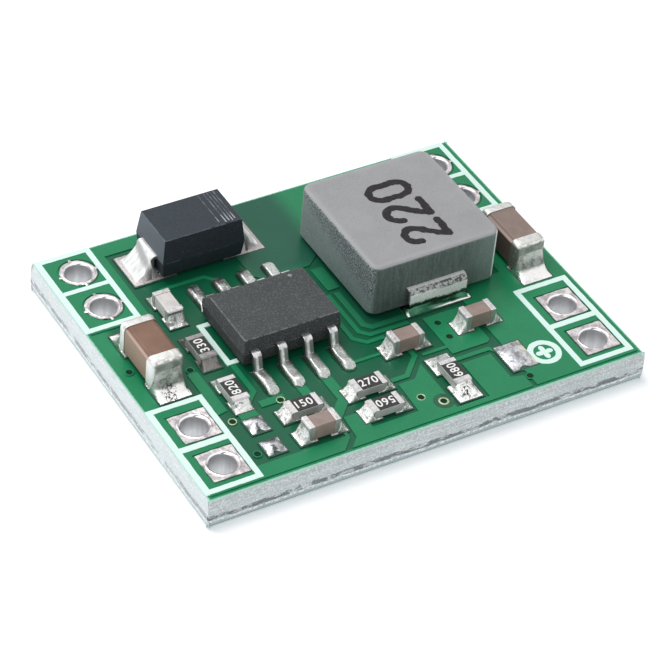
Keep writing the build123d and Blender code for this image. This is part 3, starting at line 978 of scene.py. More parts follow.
class BOARD_OT_coil(bpy.types.Operator):
    """Pressed coil block with its clips and its number"""

    bl_idname = "board.coil"
    bl_label = "Coil"

    def execute(self, context):
        tints = context.scene.board_parts
        metal = context.scene.board_metal
        dress("coil_body", self.block_finish(tints), 0.06)
        clip = self.clip_finish(metal)
        for node in ("coil_terminal_front", "coil_terminal_back"):
            dress(node, clip, 0.015, 1)
        self.number(tints)
        return {"FINISHED"}

    def number(self, tints):
        """A plain number in cut strokes, which reads from the board's right side."""
        ink = speckled(
            "coil_ink", 16, (0.45, 0.7), tints.coil_ink, paint(62, 58, 62), 0.7, grit=0.01,
            specular_ior_level=0.2,
        )
        top, half, overlap = box("coil_body")[1].z, 0.18, 0.007
        bm = bmesh.new()
        for place, digit in zip(DIGIT_PLACES, "220"):
            for number, points in enumerate(DIGITS[digit]):
                level = top + overlap * number
                spot = shift(*NUMBER_PLACE, level) @ spin(90) @ shift(place, -1)
                stroke(bm, points, half, spot, place + number)
        keep(bm, "coil_number", [ink])

    def block_finish(self, tints):
        """Ground grey on top, and dark grainy sides with pressing marks, painted as a lit left side
        and a shaded front, with a painted highlight down the front right corner.
        """
        finish = Shader("coil_block")
        x, y, z = finish.x, finish.y, finish.z
        centre = middle("coil_body")
        fine, speck = finish.grain(14, 3, 0.75), finish.grain(19, 2, 0.8, seed=3)
        top = (z + (fine - 0.5) * 0.05).ramp(4.34, 4.4)
        edge = (x - centre.x).size().most((y - centre.y).size())
        cloud = finish.grain(0.7, 3, 0.6, seed=1).ramp(0.3, 0.7)
        face = finish.mix(cloud, tints.coil_top, dim(tints.coil_top, 1.1))
        face = finish.mix(fine.ramp(0.5, 0.66) * 0.3, face, paint(122, 119, 122))
        face = finish.mix(speck.ramp(0.54, 0.66) * 0.2, face, paint(188, 188, 190))
        face = finish.mix(edge.ramp(2.9, 3.3) * 0.25, face, paint(186, 186, 188))
        # Left side: coarse grains in a band that widens towards the front corner
        climb = (z - 1.8) * 0.37 - (y - 5.3) * 0.09 + (fine - 0.5) * 0.4
        band = climb.ramp(0.75, 1.05)
        coarse = finish.grain(11, 3, 0.8, seed=6)
        left = finish.mix(fine.ramp(0.4, 0.65) * 0.5, tints.coil_left_painted_light, paint(86, 98, 97))
        left = finish.mix(band * coarse.ramp(0.44, 0.54), left, paint(42, 48, 50))
        left = finish.mix((band * 0.5 + 0.3) * speck.ramp(0.5, 0.62), left, paint(186, 194, 197))
        # Front: streaks from pressing, paler to the right
        marks = finish.grain(3.2, 4, stretch=(1.6, 1.6, 0.25), seed=7)
        front = finish.mix(marks.ramp(0.36, 0.66), paint(72, 84, 81), tints.coil_front_painted_shade)
        front = finish.mix(x.ramp(5.4, 7.2) * 0.5, front, paint(128, 148, 141))
        front = finish.mix(speck.ramp(0.52, 0.7) * 0.35, front, paint(150, 160, 158))
        # Painted light and shade: the lit left colour on faces that look left, the shaded front
        # colour on the others
        side = finish.mix((-finish.nx).ramp(0.4, 0.9), front, left)
        # Painted highlight down the front right corner
        corner = finish.nx.ramp(0.36, 0.56) * (-finish.ny).ramp(0.3, 0.5)
        side = finish.mix(corner, side, paint(236, 244, 241))
        height = fine + speck * 0.6 + marks * (1 - top)
        return finish.done(
            base_color=finish.mix(top, side, face), roughness=0.6 - top * 0.06,
            metallic=0.1, normal=finish.bump(height, 0.03, 0.8),
        )

    def clip_finish(self, metal):
        """Tin with a painted highlight along its middle, worn dark above it, and a painted dull
        green reflection of the board below it.
        """
        finish = Shader("clip_tin")
        z = finish.z
        rough = finish.grain(7, 4, 0.75, seed=6)
        wave = finish.grain(1.6, 3, 0.6, stretch=(1, 1, 0.1), seed=2)
        level = z + (rough - 0.5) * 0.22 + (wave - 0.5) * 0.3
        # Painted highlight in the middle band, with a painted green reflection of the board below
        # it
        bright = level.ramp(2.0, 2.16)
        tint = finish.mix(bright, paint(92, 112, 102), paint(252, 252, 250))
        worn = finish.mix(rough.ramp(0.42, 0.58), paint(66, 72, 70), paint(190, 194, 192))
        tint = finish.mix(level.ramp(2.52, 2.6), tint, worn)
        tint = finish.mix(z.ramp(2.77, 2.8), tint, metal.solder)
        end = finish.nx.size().ramp(0.6, 0.9)
        tint = finish.mix(end * 0.8, tint, paint(52, 56, 55))
        return finish.done(
            base_color=tint, metallic=1.0 - bright * 0.9, roughness=rough * 0.15 + 0.2,
            normal=finish.bump(rough, 0.02),
        )


# Moulded cases


def mould_finish(name, tint, pale, rough, seam, side, specks, level=0.35, grit=0.012):
    """Black moulded case: fine grain, a few pale specks, pale edges that are partly worn and partly
    painted highlight, painted shade on faces that do not look up, and painted light on its left
    side.
    """
    finish = Shader(name)
    nz, fine, speck = finish.nz, finish.grain(13, 3, 0.75), finish.cells(9, seed=3)
    cloud = finish.grain(0.8, 3, 0.6)
    look = finish.mix(cloud.ramp(0.3, 0.75), dim(tint, 0.85), tint)
    # Painted shade: faces that do not look up are darker
    look = finish.mix(nz.fall(0.2, 0.9) * 0.75, look, dim(tint, 0.6))
    # Painted light makes the left side paler above the seam, and the edge between two faces is
    # pale, partly worn and partly painted highlight
    left = (-finish.nx).ramp(0.4, 0.9) * nz.ramp(-0.1, 0.05)
    slant = nz.between(0.3, 0.5, 0.86, 0.97) * finish.ny.fall(0.2, 0.5)
    worn = finish.grain(4, 4, 0.75, seed=11).ramp(0.38, 0.56)
    broken = finish.grain(2, seed=9).ramp(0.45, 0.62)
    shares = [
        left * side, fine.ramp(0.5, 0.62) * specks, speck.fall(0.04, 0.14) * 0.6,
        slant * worn * 0.9, (finish.z - seam).near(0.0, 0.035) * broken * 0.6,
    ]
    for share in shares:
        look = finish.mix(share, look, pale)
    return finish.done(
        base_color=look, roughness=fine * 0.2 + rough, specular_ior_level=level,
        normal=finish.bump(fine + cloud * 0.5, grit),
    )


LEADS = range(1, 9)


class BOARD_OT_chip(bpy.types.Operator):
    """Driver chip with its eight leads"""

    bl_idname = "board.chip"
    bl_label = "Driver chip"

    def execute(self, context):
        tints = context.scene.board_parts
        low, high = box("chip_body")
        case = mould_finish(
            "chip_case", tints.chip, paint(140, 142, 144), rough=0.6,
            seam=(low.z + high.z) / 2, side=0.12, specks=0.26,
        )
        dress("chip_body", case, 0.05)
        lead = self.lead_finish(context.scene.board_metal)
        for number in LEADS:
            dress(f"chip_lead_{number}", lead, 0.02)
        self.dimple(high)
        return {"FINISHED"}

    def lead_finish(self, metal):
        """Bent tin: a painted white highlight along the middle of its upright run, painted grey
        shade at both sides, and painted light on faces that look up.
        """
        finish = Shader("lead_tin")
        cloud = finish.grain(4, 4, seed=2)
        fine = finish.grain(15, 3, 0.75, seed=6)
        first = middle("chip_lead_1").x
        pitch = abs(middle("chip_lead_2").x - first)
        share = finish.maths("FRACT", (finish.x - first) * (1 / pitch) + 0.5, 0)
        aside = (share - 0.5) * pitch
        # Painted highlight down each upright run's middle, painted shade at its sides, and painted
        # light on faces that look up
        shine = (aside + 0.05 + (cloud - 0.5) * 0.1).near(0.02, 0.11)
        upright = finish.mix(shine, paint(136, 138, 138), paint(252, 252, 250))
        flat = finish.mix(cloud.ramp(0.45, 0.65) * 0.6, paint(232, 231, 231), metal.tin_dark)
        tint = finish.mix(finish.nz.ramp(0.3, 0.6), upright, flat)
        tint = finish.mix(fine.ramp(0.52, 0.72) * 0.45, tint, metal.tin_dark)
        return finish.done(
            base_color=tint, metallic=0.85, roughness=cloud * 0.1 + 0.26,
            normal=finish.bump(cloud * 2 + fine * 0.5, 0.01),
        )

    def dimple(self, high):
        """A small pale mould mark on the top."""
        mark = speckled(
            "mould_mark", 14, (0.35, 0.65), paint(96, 98, 102), paint(176, 178, 182), 0.5,
            detail=2,
        )
        bm = bmesh.new()
        rings = [(0.1, -0.004), (0.085, 0.006), (0.06, 0.008), (0.03, 0.009)]
        _, last = grow(bm, 28, rings)
        bmesh.ops.edgeloop_fill(bm, edges=last)
        bmesh.ops.translate(bm, vec=(high.x - 0.9, high.y - 0.78, high.z), verts=bm.verts)
        keep(bm, "mould_mark", [mark])


# Height of the diode's mould seam
DIODE_SEAM = 2.64


class BOARD_OT_diode(bpy.types.Operator):
    """Diode case with its band lines and its two leads"""

    bl_idname = "board.diode"
    bl_label = "Diode"

    def execute(self, context):
        tints = context.scene.board_parts
        low, high = box("diode_body")
        case = mould_finish(
            "diode_case", tints.diode, paint(112, 119, 128), rough=0.45, seam=DIODE_SEAM,
            side=0.6, specks=0.1, level=0.28, grit=0.006,
        )
        dress("diode_body", case, 0.045)
        lead = diode_metal()
        for side in ("left", "right"):
            dress(f"diode_lead_{side}", lead, 0.03)
        self.bands(low, high)
        return {"FINISHED"}

    def bands(self, low, high):
        """One fine broken line and four streaks, paler at their front ends."""
        finish = Shader("band_ink")
        streak = finish.grain(5, 4, 0.75, stretch=(1.6, 0.5, 1))
        front = finish.y.fall(low.y + 0.3, low.y + 1.1)
        drawn = (streak + front * 0.16).ramp(0.46, 0.6)
        line = finish.mix(front, paint(112, 116, 122), paint(166, 169, 175))
        tint = finish.mix(drawn, paint(58, 64, 72), line)
        ink = finish.done(base_color=tint, roughness=0.6)
        # Place, half of the width, and how far behind the others the line starts
        lines = (
            (-3.33, 0.018, 0.14), (-3.03, 0.03, 0.0), (-2.86, 0.03, 0.05), (-2.7, 0.026, 0.0),
            (-2.55, 0.03, 0.08),
        )
        bm = bmesh.new()
        near, far = low.y + 0.22, high.y - 0.2
        for x, half, back in lines:
            start, end = (x - half, near + back, high.z - 0.004), (x + half, far, high.z + 0.005)
            block(bm, start, end)
        keep(bm, "band_lines", [ink])


def diode_metal():
    """Bright tin of the diode's leads and solder, flat and dull at the pad's margin, with painted
    shade across the bend and on the upright sides.
    """
    finish = Shader("diode_tin")
    centre = middle("diode_body")
    out, along_y = (finish.x - centre.x).size(), finish.y - centre.y
    aside = along_y.size()
    streak = finish.grain(3, 3, 0.65, stretch=(0.5, 2, 0.5), seed=3)
    fine = finish.grain(11, seed=5)
    soft = finish.mix(streak.ramp(0.35, 0.6), paint(226, 226, 226), (1, 1, 1))
    # Painted shade in a grey diagonal band across the lead's bend
    bend = out + (streak - 0.5) * 0.12 + along_y * 0.12
    soft = finish.mix(bend.between(2.3, 2.42, 2.48, 2.64) * 0.75, soft, paint(150, 151, 152))
    margin = out.ramp(3.06, 3.16).most(aside.ramp(0.74, 0.84))
    flat = finish.mix(fine.ramp(0.35, 0.7), paint(196, 190, 190), paint(160, 154, 154))
    tint = finish.mix(margin, soft, flat)
    # Painted shade on the upright sides of the lead
    end = aside.ramp(0.66, 0.72) * finish.nz.size().fall(0.2, 0.5)
    tint = finish.mix(end * 0.8, tint, paint(64, 66, 68))
    return finish.done(
        base_color=tint, metallic=0.45, roughness=margin * 0.14 + 0.3,
        normal=finish.bump(fine + streak, 0.008),
    )


# Ceramic parts


def ceramic_finish(name, tint, side=None):
    """Fired ceramic: even and dull, with fine grain and faint cloudy patches; a side colour paints
    light and shade on the left side, with a narrow pale line at its top edge.
    """
    finish = Shader(name)
    cloud, fine = finish.grain(1.3, 3, 0.6), finish.grain(16, seed=4)
    dark = dim(tint, 0.84)
    look = finish.mix(cloud.ramp(0.3, 0.7), dark, dim(tint, 1.08))
    # Painted light and shade: the left side takes the side colour
    if side:
        left = ((cloud - 0.5) * 0.2 - finish.nx).ramp(0.7, 0.9)
        look = finish.mix(left, look, side)
        # The edge between the top and the left side is a narrow pale line, partly worn and partly
        # painted highlight
        line = finish.z.between(3.0, 3.05, 3.08, 3.14) * (-finish.nx).ramp(0.3, 0.5)
        look = finish.mix(line * 0.6, look, paint(205, 186, 172))
    look = finish.mix(fine.ramp(0.55, 0.8) * 0.25, look, dark)
    return finish.done(
        base_color=look, roughness=fine * 0.15 + 0.42, normal=finish.bump(fine, 0.006)
    )


def cup(bm, node, outer, rounding):
    """A metal end: a box with round edges, but for the rim where the ceramic comes out."""
    low, high = box(node)
    edges = edges_at(block(bm, low, high))
    inner = low.y if outer > 0 else high.y
    soft = [edge for edge in edges if any(abs(vert.co.y - inner) > 0.01 for vert in edge.verts)]
    bmesh.ops.bevel(
        bm, geom=soft, offset=rounding, offset_type="OFFSET", segments=7, profile=0.5,
        affect="EDGES", material=-1,
    )


class BOARD_OT_capacitors(bpy.types.Operator):
    """Large and small ceramic capacitors with their metal ends"""

    bl_idname = "board.capacitors"
    bl_label = "Capacitors"

    def execute(self, context):
        tints, metal = context.scene.board_parts, context.scene.board_metal
        # Side colours: painted light on the left capacitor's left side, painted shadow of the coil
        # on the right capacitor's left side
        brown = ceramic_finish("brown_ceramic", tints.brown, paint(146, 122, 106))
        dusty = ceramic_finish("dusty_ceramic", tints.dusty, paint(88, 72, 66))
        sandy = ceramic_finish("sandy_ceramic", tints.sandy)
        pale = ceramic_finish("pale_ceramic", tints.pale)
        small = metal_finish("end_tin", metal, 0.34, seed=8, even=0.5)
        large = self.cup_finish(metal)
        for side, ceramic in (("left", brown), ("right", dusty)):
            dress(f"{side}_capacitor", ceramic, 0.04)
            nodes = [f"{side}_capacitor_front_end", f"{side}_capacitor_back_end"]
            bm = bmesh.new()
            for node, outer in zip(nodes, (-1, 1)):
                cup(bm, node, outer, 0.27)
            keep(bm, f"{side}_capacitor_cups", [large], nodes, sharp=60)
        for number in range(1, 5):
            dress(f"small_capacitor_{number}", pale if number == 1 else sandy, 0.02)
            dress(f"small_capacitor_ends_{number}", small, 0.02)
        return {"FINISHED"}

    def cup_finish(self, metal):
        """Dull tin: pale above and mottled grey-green in front as painted light and painted shade
        with green reflection, a left edge painted white on the left capacitor and dark on the right
        one, and painted glints.
        """
        finish = Shader("cup_tin")
        nz, cloud, fine = finish.nz, finish.grain(2.6, 4, seed=3), finish.grain(13, 3, 0.75, seed=5)
        # Painted shade and painted green reflection of the board on the front, painted light above
        front = finish.mix(cloud.ramp(0.35, 0.65), paint(124, 131, 124), paint(166, 170, 163))
        above = finish.mix(cloud.ramp(0.4, 0.7) * 0.3, paint(208, 208, 205), metal.tin_dark)
        tint = finish.mix(finish.lit(cloud, 0.3), front, above)
        # Painted light and shade: the left edge is a white highlight on the left capacitor and dark
        # with the coil's shadow on the right one
        edge = (-finish.nx).ramp(0.35, 0.6) * nz.fall(0.3, 0.6) * cloud.ramp(0.3, 0.45)
        sides = finish.mix(finish.x.ramp(-1, 1), paint(236, 238, 236), paint(104, 104, 98))
        tint = finish.mix(edge, tint, sides)
        # Painted glints on the sloping faces
        glint = nz.between(0.35, 0.6, 0.75, 0.95) * finish.grain(3.5, seed=12).ramp(0.48, 0.56)
        tint = finish.mix(glint, tint, paint(240, 240, 238))
        tint = finish.mix(fine.ramp(0.52, 0.76) * 0.4, tint, metal.shade)
        return finish.done(
            base_color=tint, metallic=nz.ramp(0.2, 0.6) * 0.5 + 0.4,
            roughness=cloud * 0.1 + 0.42, normal=finish.bump(cloud * 2 + fine * 0.6, 0.02),
        )


# Number of each resistor, and its turn
RESISTOR_MARKS = {
    1: ("330", 90), 2: ("820", 90), 3: ("150", 0), 4: ("270", 0), 5: ("560", 180), 6: ("680", 90),
}


class BOARD_OT_resistors(bpy.types.Operator):
    """Resistors with their dark coats and plain numbers"""

    bl_idname = "board.resistors"
    bl_label = "Resistors"

    def execute(self, context):
        tints, metal = context.scene.board_parts, context.scene.board_metal
        plate = ceramic_finish("resistor_plate", tints.plate)
        ends = metal_finish("resistor_tin", metal, 0.36, seed=5, even=0.5)
        dull = metal_finish("tarnished_tin", metal, 0.45, paint(150, 148, 146))
        coat = speckled(
            "resistor_coat", 18, (0.4, 0.7), dim(tints.coat, 0.6), tints.coat, 0.3, detail=2,
            spread=0.1, grit=0.004,
        )
        ink = speckled(
            "resistor_ink", 20, (0.6, 0.9), paint(244, 244, 240), paint(200, 200, 196), 0.5,
            detail=2,
        )
        dress("resistor_coats", coat)
        top = box("resistor_coats")[1].z
        bm = bmesh.new()
        for number, (text, turn) in RESISTOR_MARKS.items():
            node = f"resistor_{number}"
            dress(node, plate, 0.015, 1)
            dress(f"resistor_ends_{number}", dull if number == 1 else ends)
            centre = middle(node)
            add_number(bm, text, shift(centre.x, centre.y, top + 0.002) @ spin(turn))
        keep(bm, "resistor_numbers", [ink])
        return {"FINISHED"}


# Solder


@dataclass
class Joint:
    """The solder at both ends of a part: its pads, its metal ends and its slope."""

    at: Vector  # middle of the part
    turn: float  # degrees from the x axis
    half: float  # half of the part's length
    span: float  # from the outer edge of one pad to that of the other
    pad: tuple  # length along the part, and width
    width: float  # of the metal end
    rise: float  # of the slope at the metal end
    power: float  # how hollow the slope is
    swell: float = 0.0  # how much the slope bulges
    material: int = 0  # place of its finish in the piece's list

    def pads(self):
        """Centre and size of both pads."""
        long, wide = self.pad
        out = (self.span - long) / 2
        if self.turn:
            return [(self.at.x, self.at.y + side * out, wide, long) for side in (-1, 1)]
        return [(self.at.x + side * out, self.at.y, long, wide) for side in (-1, 1)]

    def make(self, bm):
        """A thin film on each pad and a hollow slope up each end."""
        for side in (0, 180):
            self.end(bm, self.turn + side)

    def end(self, bm, turn):
        """One pad: the film lies in the first columns, and the slope in the others."""
        half, reach, (long, wide) = self.half, self.span / 2 - self.half, self.pad
        # Length of the film, its thickness, its columns and all columns
        under, film, split, count = long - reach, 0.028, 3, 26
        seed = self.at.x * 3.1 + self.at.y * 1.7 + turn

        def plan(u, v):
            """Place along and across the part."""
            column = u * count
            if column <= split:
                x = half - under + (under - 0.03) * column / split
            else:
                x = half - 0.01 + (reach + 0.01) * (column - split) / (count - split)
            ragged = 0.012 * lump(u * 5 + seed, v * 4, seed)
            return x + ragged, (v * wide / 2) * (1 + 2 * ragged)

        def height(u, v):
            # Full width at the metal end, thin rims at both sides, and rough between
            side = abs(v) * wide / self.width
            across = 1.0 if side < 0.8 else max(0.0, 1 - ((side - 0.8) / 0.45) ** 2)
            rim = min(1.0, (1 - abs(v)) * 6)
            if u * count < split:
                return film * (0.4 + 0.6 * rim)
            t = (u * count - split) / (count - split)
            slope = (1 - t) ** self.power * across
            swell = self.swell * math.sin(math.pi * min(1, t)) * (1 - v * v)
            rough = 0.035 * lump(t * 4 + seed, v * 2, seed) * (1 - abs(2 * t - 1))
            edge = min(1.0, (1 - t) * 8) * rim
            base = film * (0.35 + 0.65 * edge)
            top = (self.rise - film) * slope * (0.35 + 0.65 * rim)
            return base + top + (swell + rough) * edge

        place = shift(self.at.x, self.at.y, COPPER_TOP) @ spin(turn)
        heap(bm, place, (count, 16), plan, height, self.material)


SMALL_PART = {"half": 0.8, "span": 2.32, "pad": (0.82, 0.88), "width": 0.8}
WIDE_PART = {"half": 0.8, "span": 3.02, "pad": (1.1, 1.14), "width": 0.8}


def small_joints():
    """Solder of the small parts."""
    joints = []
    for number in range(1, 5):
        node = f"small_capacitor_{number}"
        low, high = box(node)
        turn, rise = 90 if number == 1 else 0, (high.z - low.z) * 0.85
        joints.append(Joint(middle(node), turn, **SMALL_PART, rise=rise, power=1.7))
    for number in range(1, 7):
        turn, at = 90 if number in (1, 2, 6) else 0, middle(f"resistor_{number}")
        sizes = WIDE_PART if number == 6 else SMALL_PART
        finish = 1 if number == 1 else 0
        joints.append(
            Joint(at, turn, **sizes, rise=0.42, power=1.5, swell=0.03, material=finish)
        )
    return joints


def large_joints():
    """Solder of the two large capacitors, the diode and the coil."""
    joints = []
    for name in ("left_capacitor", "right_capacitor"):
        sizes = {"half": 1.6, "span": 4.85, "pad": (1.5, 1.54), "width": 1.4}
        joints.append(Joint(middle(name), 90, **sizes, rise=1.1, power=2.8))
    ends = box("diode_lead_left")[0], box("diode_lead_right")[1]
    half = (ends[1].x - ends[0].x) / 2
    at = Vector(((ends[0].x + ends[1].x) / 2, middle("diode_lead_left").y))
    sizes = {"half": half, "span": 6.6, "pad": (2.1, 2.15), "width": 1.45}
    joints.append(Joint(at, 0, **sizes, rise=1.0, power=1.7, material=1))
    ends = box("coil_terminal_front")[0], box("coil_terminal_back")[1]
    half = (ends[1].y - ends[0].y) / 2
    at = Vector((middle("coil_body").x, (ends[0].y + ends[1].y) / 2))
    sizes = {"half": half, "span": 7.85, "pad": (1.9, 3.3), "width": 3.0}
    joints.append(Joint(at, 90, **sizes, rise=0.3, power=1.6, material=2))
    return joints


# Pads with no part: place, size and rise of the solder
BARE_PADS = (
    (-6.96, -5.24, 0.88, 0.94, 0.17), (-6.96, -6.72, 0.88, 0.88, 0.17),
    (5.56, -6.23, 1.28, 1.7, 0.1),
)


class BOARD_OT_solder(bpy.types.Operator):
    """Solder at every lead, end and bare pad"""

    bl_idname = "board.solder"
    bl_label = "Solder"

    def execute(self, context):
        metal = context.scene.board_metal
        dull = metal_finish(
            "dull_solder", metal, 0.3, paint(140, 136, 132), paint(62, 58, 56), patches=0.6,
            scale=4.0, grit=0.01, seed=3, even=0.5,
        )
        large = [self.foot_finish(metal), diode_metal(), self.painted_reflection_finish(metal)]
        for size, joints, finishes in (
            ("small", small_joints(), [self.small_finish(metal), dull]),
            ("large", large_joints(), large),
        ):
            bm = bmesh.new()
            for joint in joints:
                joint.make(bm)
            keep(bm, f"{size}_solder", finishes, [f"{size}_part_solder"], sharp=60)
        self.chip(metal)
        self.bare(metal)
        self.outlines(context)
        return {"FINISHED"}

    def small_finish(self, metal):
        """White solder with painted grey shade on faces turned from the light, grey hollows, and
        dark specks on the wide resistor's pad.
        """
        finish = Shader("solder")
        cloud, fine = finish.grain(4.2, 4, seed=1), finish.grain(20, seed=5)
        # Painted light and shade by the way a face looks
        tint = finish.mix(finish.lit(cloud) * 0.35 + 0.65, metal.shade, paint(255, 255, 253))
        hollow = cloud.ramp(0.53, 0.62) * 0.75 + fine.ramp(0.5, 0.75) * 0.2
        tint = finish.mix(hollow, tint, metal.solder_dark)
        spot = middle("resistor_6") - Vector((0.12, 1.12, 0))
        near = (finish.x - spot.x).size().most((finish.y - spot.y).size()).fall(0.12, 0.36)
        pits = finish.grain(5, 4, 0.75, stretch=(1.3, 0.9, 1), seed=23)
        tint = finish.mix((pits + near * 0.06).ramp(0.54, 0.58) * near, tint, paint(40, 38, 36))
        return finish.done(
            base_color=tint, metallic=0.45, roughness=hollow * 0.2 + 0.2,
            normal=finish.bump(cloud * 2 + fine * 0.5, 0.03),
        )

    def foot_finish(self, metal):
        """Solder of the large capacitors: dull grey-green above from painted shade and painted
        green reflection of the board, a white foot below.
        """
        finish = Shader("foot_solder")
        cloud, pits = finish.grain(3, 4, seed=2), finish.grain(9, seed=6)
        mottle, level = cloud.ramp(0.4, 0.6), finish.z + (cloud - 0.5) * 0.3
        # Painted shade and painted green reflection on the slope above the white foot, darkest low
        # in its hollow
        above = finish.mix(mottle, paint(158, 163, 157), paint(196, 199, 193))
        below = finish.mix(mottle, paint(108, 115, 109), paint(160, 165, 159))
        above = finish.mix(level.ramp(2.2, 2.5), below, above)
        dull = level.ramp(1.84, 2.02)
        tint = finish.mix(dull, metal.solder, above)
        patch = (finish.x - (middle("left_capacitor").x - 0.12)).near(0.15, 0.5)
        specks = (pits + patch * 0.1).ramp(0.58, 0.63) * (patch * 0.75 + 0.15)
        tint = finish.mix(specks * finish.z.fall(2.0, 2.2), tint, paint(44, 42, 40))
        return finish.done(
            base_color=tint, metallic=1 - dull * 0.5, roughness=cloud * 0.12 + 0.22,
            normal=finish.bump(cloud * 2 + pits, 0.02),
        )

    def painted_reflection_finish(self, metal):
        """Solder below the coil's clips: a painted dark green reflection of the board, white at its
        outer line.
        """
        finish = Shader("clip_solder")
        centre = middle("coil_body")
        wave = finish.grain(2.2, 3, 0.6, seed=4)
        out = (finish.y - centre.y).size() + (wave - 0.5) * 0.05
        aside = (finish.x - centre.x).size()
        line = out.ramp(3.85, 3.9) * finish.x.ramp(3.7, 4.8)
        rim = line.most(aside.ramp(1.52, 1.58) * out.ramp(3.7, 3.8))
        # Painted dark green reflection of the board
        deep = finish.mix(wave.ramp(0.35, 0.65), paint(38, 92, 66), paint(74, 122, 98))
        tint = finish.mix(rim, deep, metal.solder)
        return finish.done(
            base_color=tint, metallic=1.0, roughness=wave * 0.1 + 0.16,
            normal=finish.bump(wave, 0.01),
        )

    def toe_finish(self, metal):
        """Smooth solder over the leads' feet: pinkish grey with a painted white highlight on its
        right rim and painted shade on its steep left side.
        """
        finish = Shader("toe_solder")
        cloud = finish.grain(3.4, 4, seed=7)
        fine = finish.grain(14, 3, 0.75, seed=2)
        tint = finish.mix(fine.ramp(0.4, 0.64) * 0.7, paint(206, 211, 207), paint(134, 134, 134))
        # Painted highlight on faces that look right, painted shade on steep faces that look left
        right = finish.nx.ramp(0.3, 0.6)
        left = (-finish.nx).ramp(0.75, 0.92)
        tint = finish.mix(left * 0.7, tint, metal.shade)
        tint = finish.mix(right, tint, paint(252, 252, 250))
        behind = finish.y.ramp(2.6, 2.9) * finish.x.fall(-2.4, -2.2)
        spots = cloud.ramp(0.6, 0.68) * 0.7 + behind * cloud.ramp(0.46, 0.54) * 0.7
        tint = finish.mix(spots, tint, paint(124, 126, 125))
        return finish.done(
            base_color=tint, metallic=1.0, roughness=cloud * 0.12 + 0.26,
            normal=finish.bump(cloud + fine * 0.4, 0.012),
        )

    def chip(self, metal):
        """A long low heap around each lead's foot, flat above and round at its end."""
        bm = bmesh.new()
        body = middle("chip_body")
        # Distance of a heap from the chip's middle line, its length and half of its width
        start, run, half = 2.2, 1.8, 0.325
        for number in LEADS:
            low, high = box(f"chip_lead_{number}")
            turn = 180 if high.y < body.y else 0
            seed = number * 1.9

            def plan(u, v):
                near = max(0.0, (u - 0.8) / 0.2)
                wide = max(0.02, half * math.sqrt(max(0.0, 1 - near ** 2.4)))
                return wide * v + 0.03 * lump(u * 2, seed, 0), start + run * u

            def height(u, v):
                dome = max(0.0, 1 - abs(v) ** 7) * min(1.0, u * 7)
                toe = math.sqrt(max(0.0, 1 - max(0.0, (u - 0.72) / 0.28) ** 2))
                swell = lump(u * 3 + seed, v, seed) * 0.03
                return 0.02 + (0.24 + swell) * dome * (0.3 + 0.7 * toe) * toe

            place = shift((low.x + high.x) / 2, body.y, COPPER_TOP) @ spin(turn)
            heap(bm, place, (22, 14), plan, height)
        keep(bm, "lead_solder", [self.toe_finish(metal)], ["chip_solder"], sharp=60)

    def bare(self, metal):
        """Heaps that draw in between the corners of a pad with no part."""
        bm = bmesh.new()
        for x, y, width, depth, rise in BARE_PADS:
            seed = x * 1.3 + y

            def plan(u, v):
                notch = max(0.0, 1 - ((2 * u - 0.9) / 0.45) ** 2) * max(0.0, -v) ** 2
                return (u - 0.5) * width, v * depth / 2 + 0.16 * notch

            def height(u, v):
                swell = 1 + 0.3 * lump(u * 3 + seed, v * 1.5, seed)
                return 0.015 + rise * swell * (1 - (2 * u - 1) ** 2) * (1 - v * v)

            heap(bm, shift(x, y, COPPER_TOP), (18, 18), plan, height)
        finish = self.bare_finish(metal)
        keep(bm, "bare_solder", [finish], ["bare_pad_solder"], sharp=60)

    def bare_finish(self, metal):
        """Flat solder: lavender grey, with painted shade in a crease on each small pad and a yellow
        stain at the right of the large pad.
        """
        finish = Shader("bare_solder")
        cloud, fine = finish.grain(2.6, 4, seed=5), finish.grain(12, seed=8)
        tint = finish.mix(cloud.ramp(0.35, 0.62), paint(142, 143, 147), paint(218, 220, 224))
        tint = finish.mix(fine.ramp(0.52, 0.74) * 0.5, tint, metal.solder_dark)
        # Painted shade: a dark crease runs from the drawn-in front of each small pad to its middle
        for x, y, _, depth, _ in BARE_PADS[:2]:
            aside = (finish.x - (x - 0.05) + (cloud - 0.5) * 0.5).near(0.03, 0.12)
            painted_crease_shade = aside * (finish.y - y).between(-depth / 2, -depth / 2 + 0.1, -0.06, 0.06)
            tint = finish.mix(painted_crease_shade * 0.85, tint, paint(58, 56, 54))
        stain = finish.x.ramp(5.85, 6.2) * cloud.ramp(0.35, 0.6)
        tint = finish.mix(stain * 0.7, tint, paint(222, 216, 172))
        return finish.done(
            base_color=tint, metallic=1.0, roughness=cloud * 0.15 + 0.24,
            normal=finish.bump(cloud * 2 + fine * 0.4, 0.015),
        )

    def outlines(self, context):
        """A thin dark rim of bare laminate around each pad."""
        edge = context.scene.board_sizes.outline / MM
        dark = outline_finish("pad_outline", context.scene.board_finish.outline)
        pads = [pad[:4] for pad in BARE_PADS]
        for joint in (*small_joints(), *large_joints()):
            pads += joint.pads()
        bm = bmesh.new()
        sunk, proud = 0.02, 0.002
        for x, y, width, depth in pads:
            across, along_y = width / 2 + edge, depth / 2 + edge
            low = (x - across, y - along_y, COPPER_TOP - sunk)
            block(bm, low, (x + across, y + along_y, COPPER_TOP + proud))
        keep(bm, "pad_outlines", [dark])


# Stage

# How far the camera aims beside the board's middle, across and up the picture
AIM = (0.05, -0.04)
FLOOR_RADIUS = 900


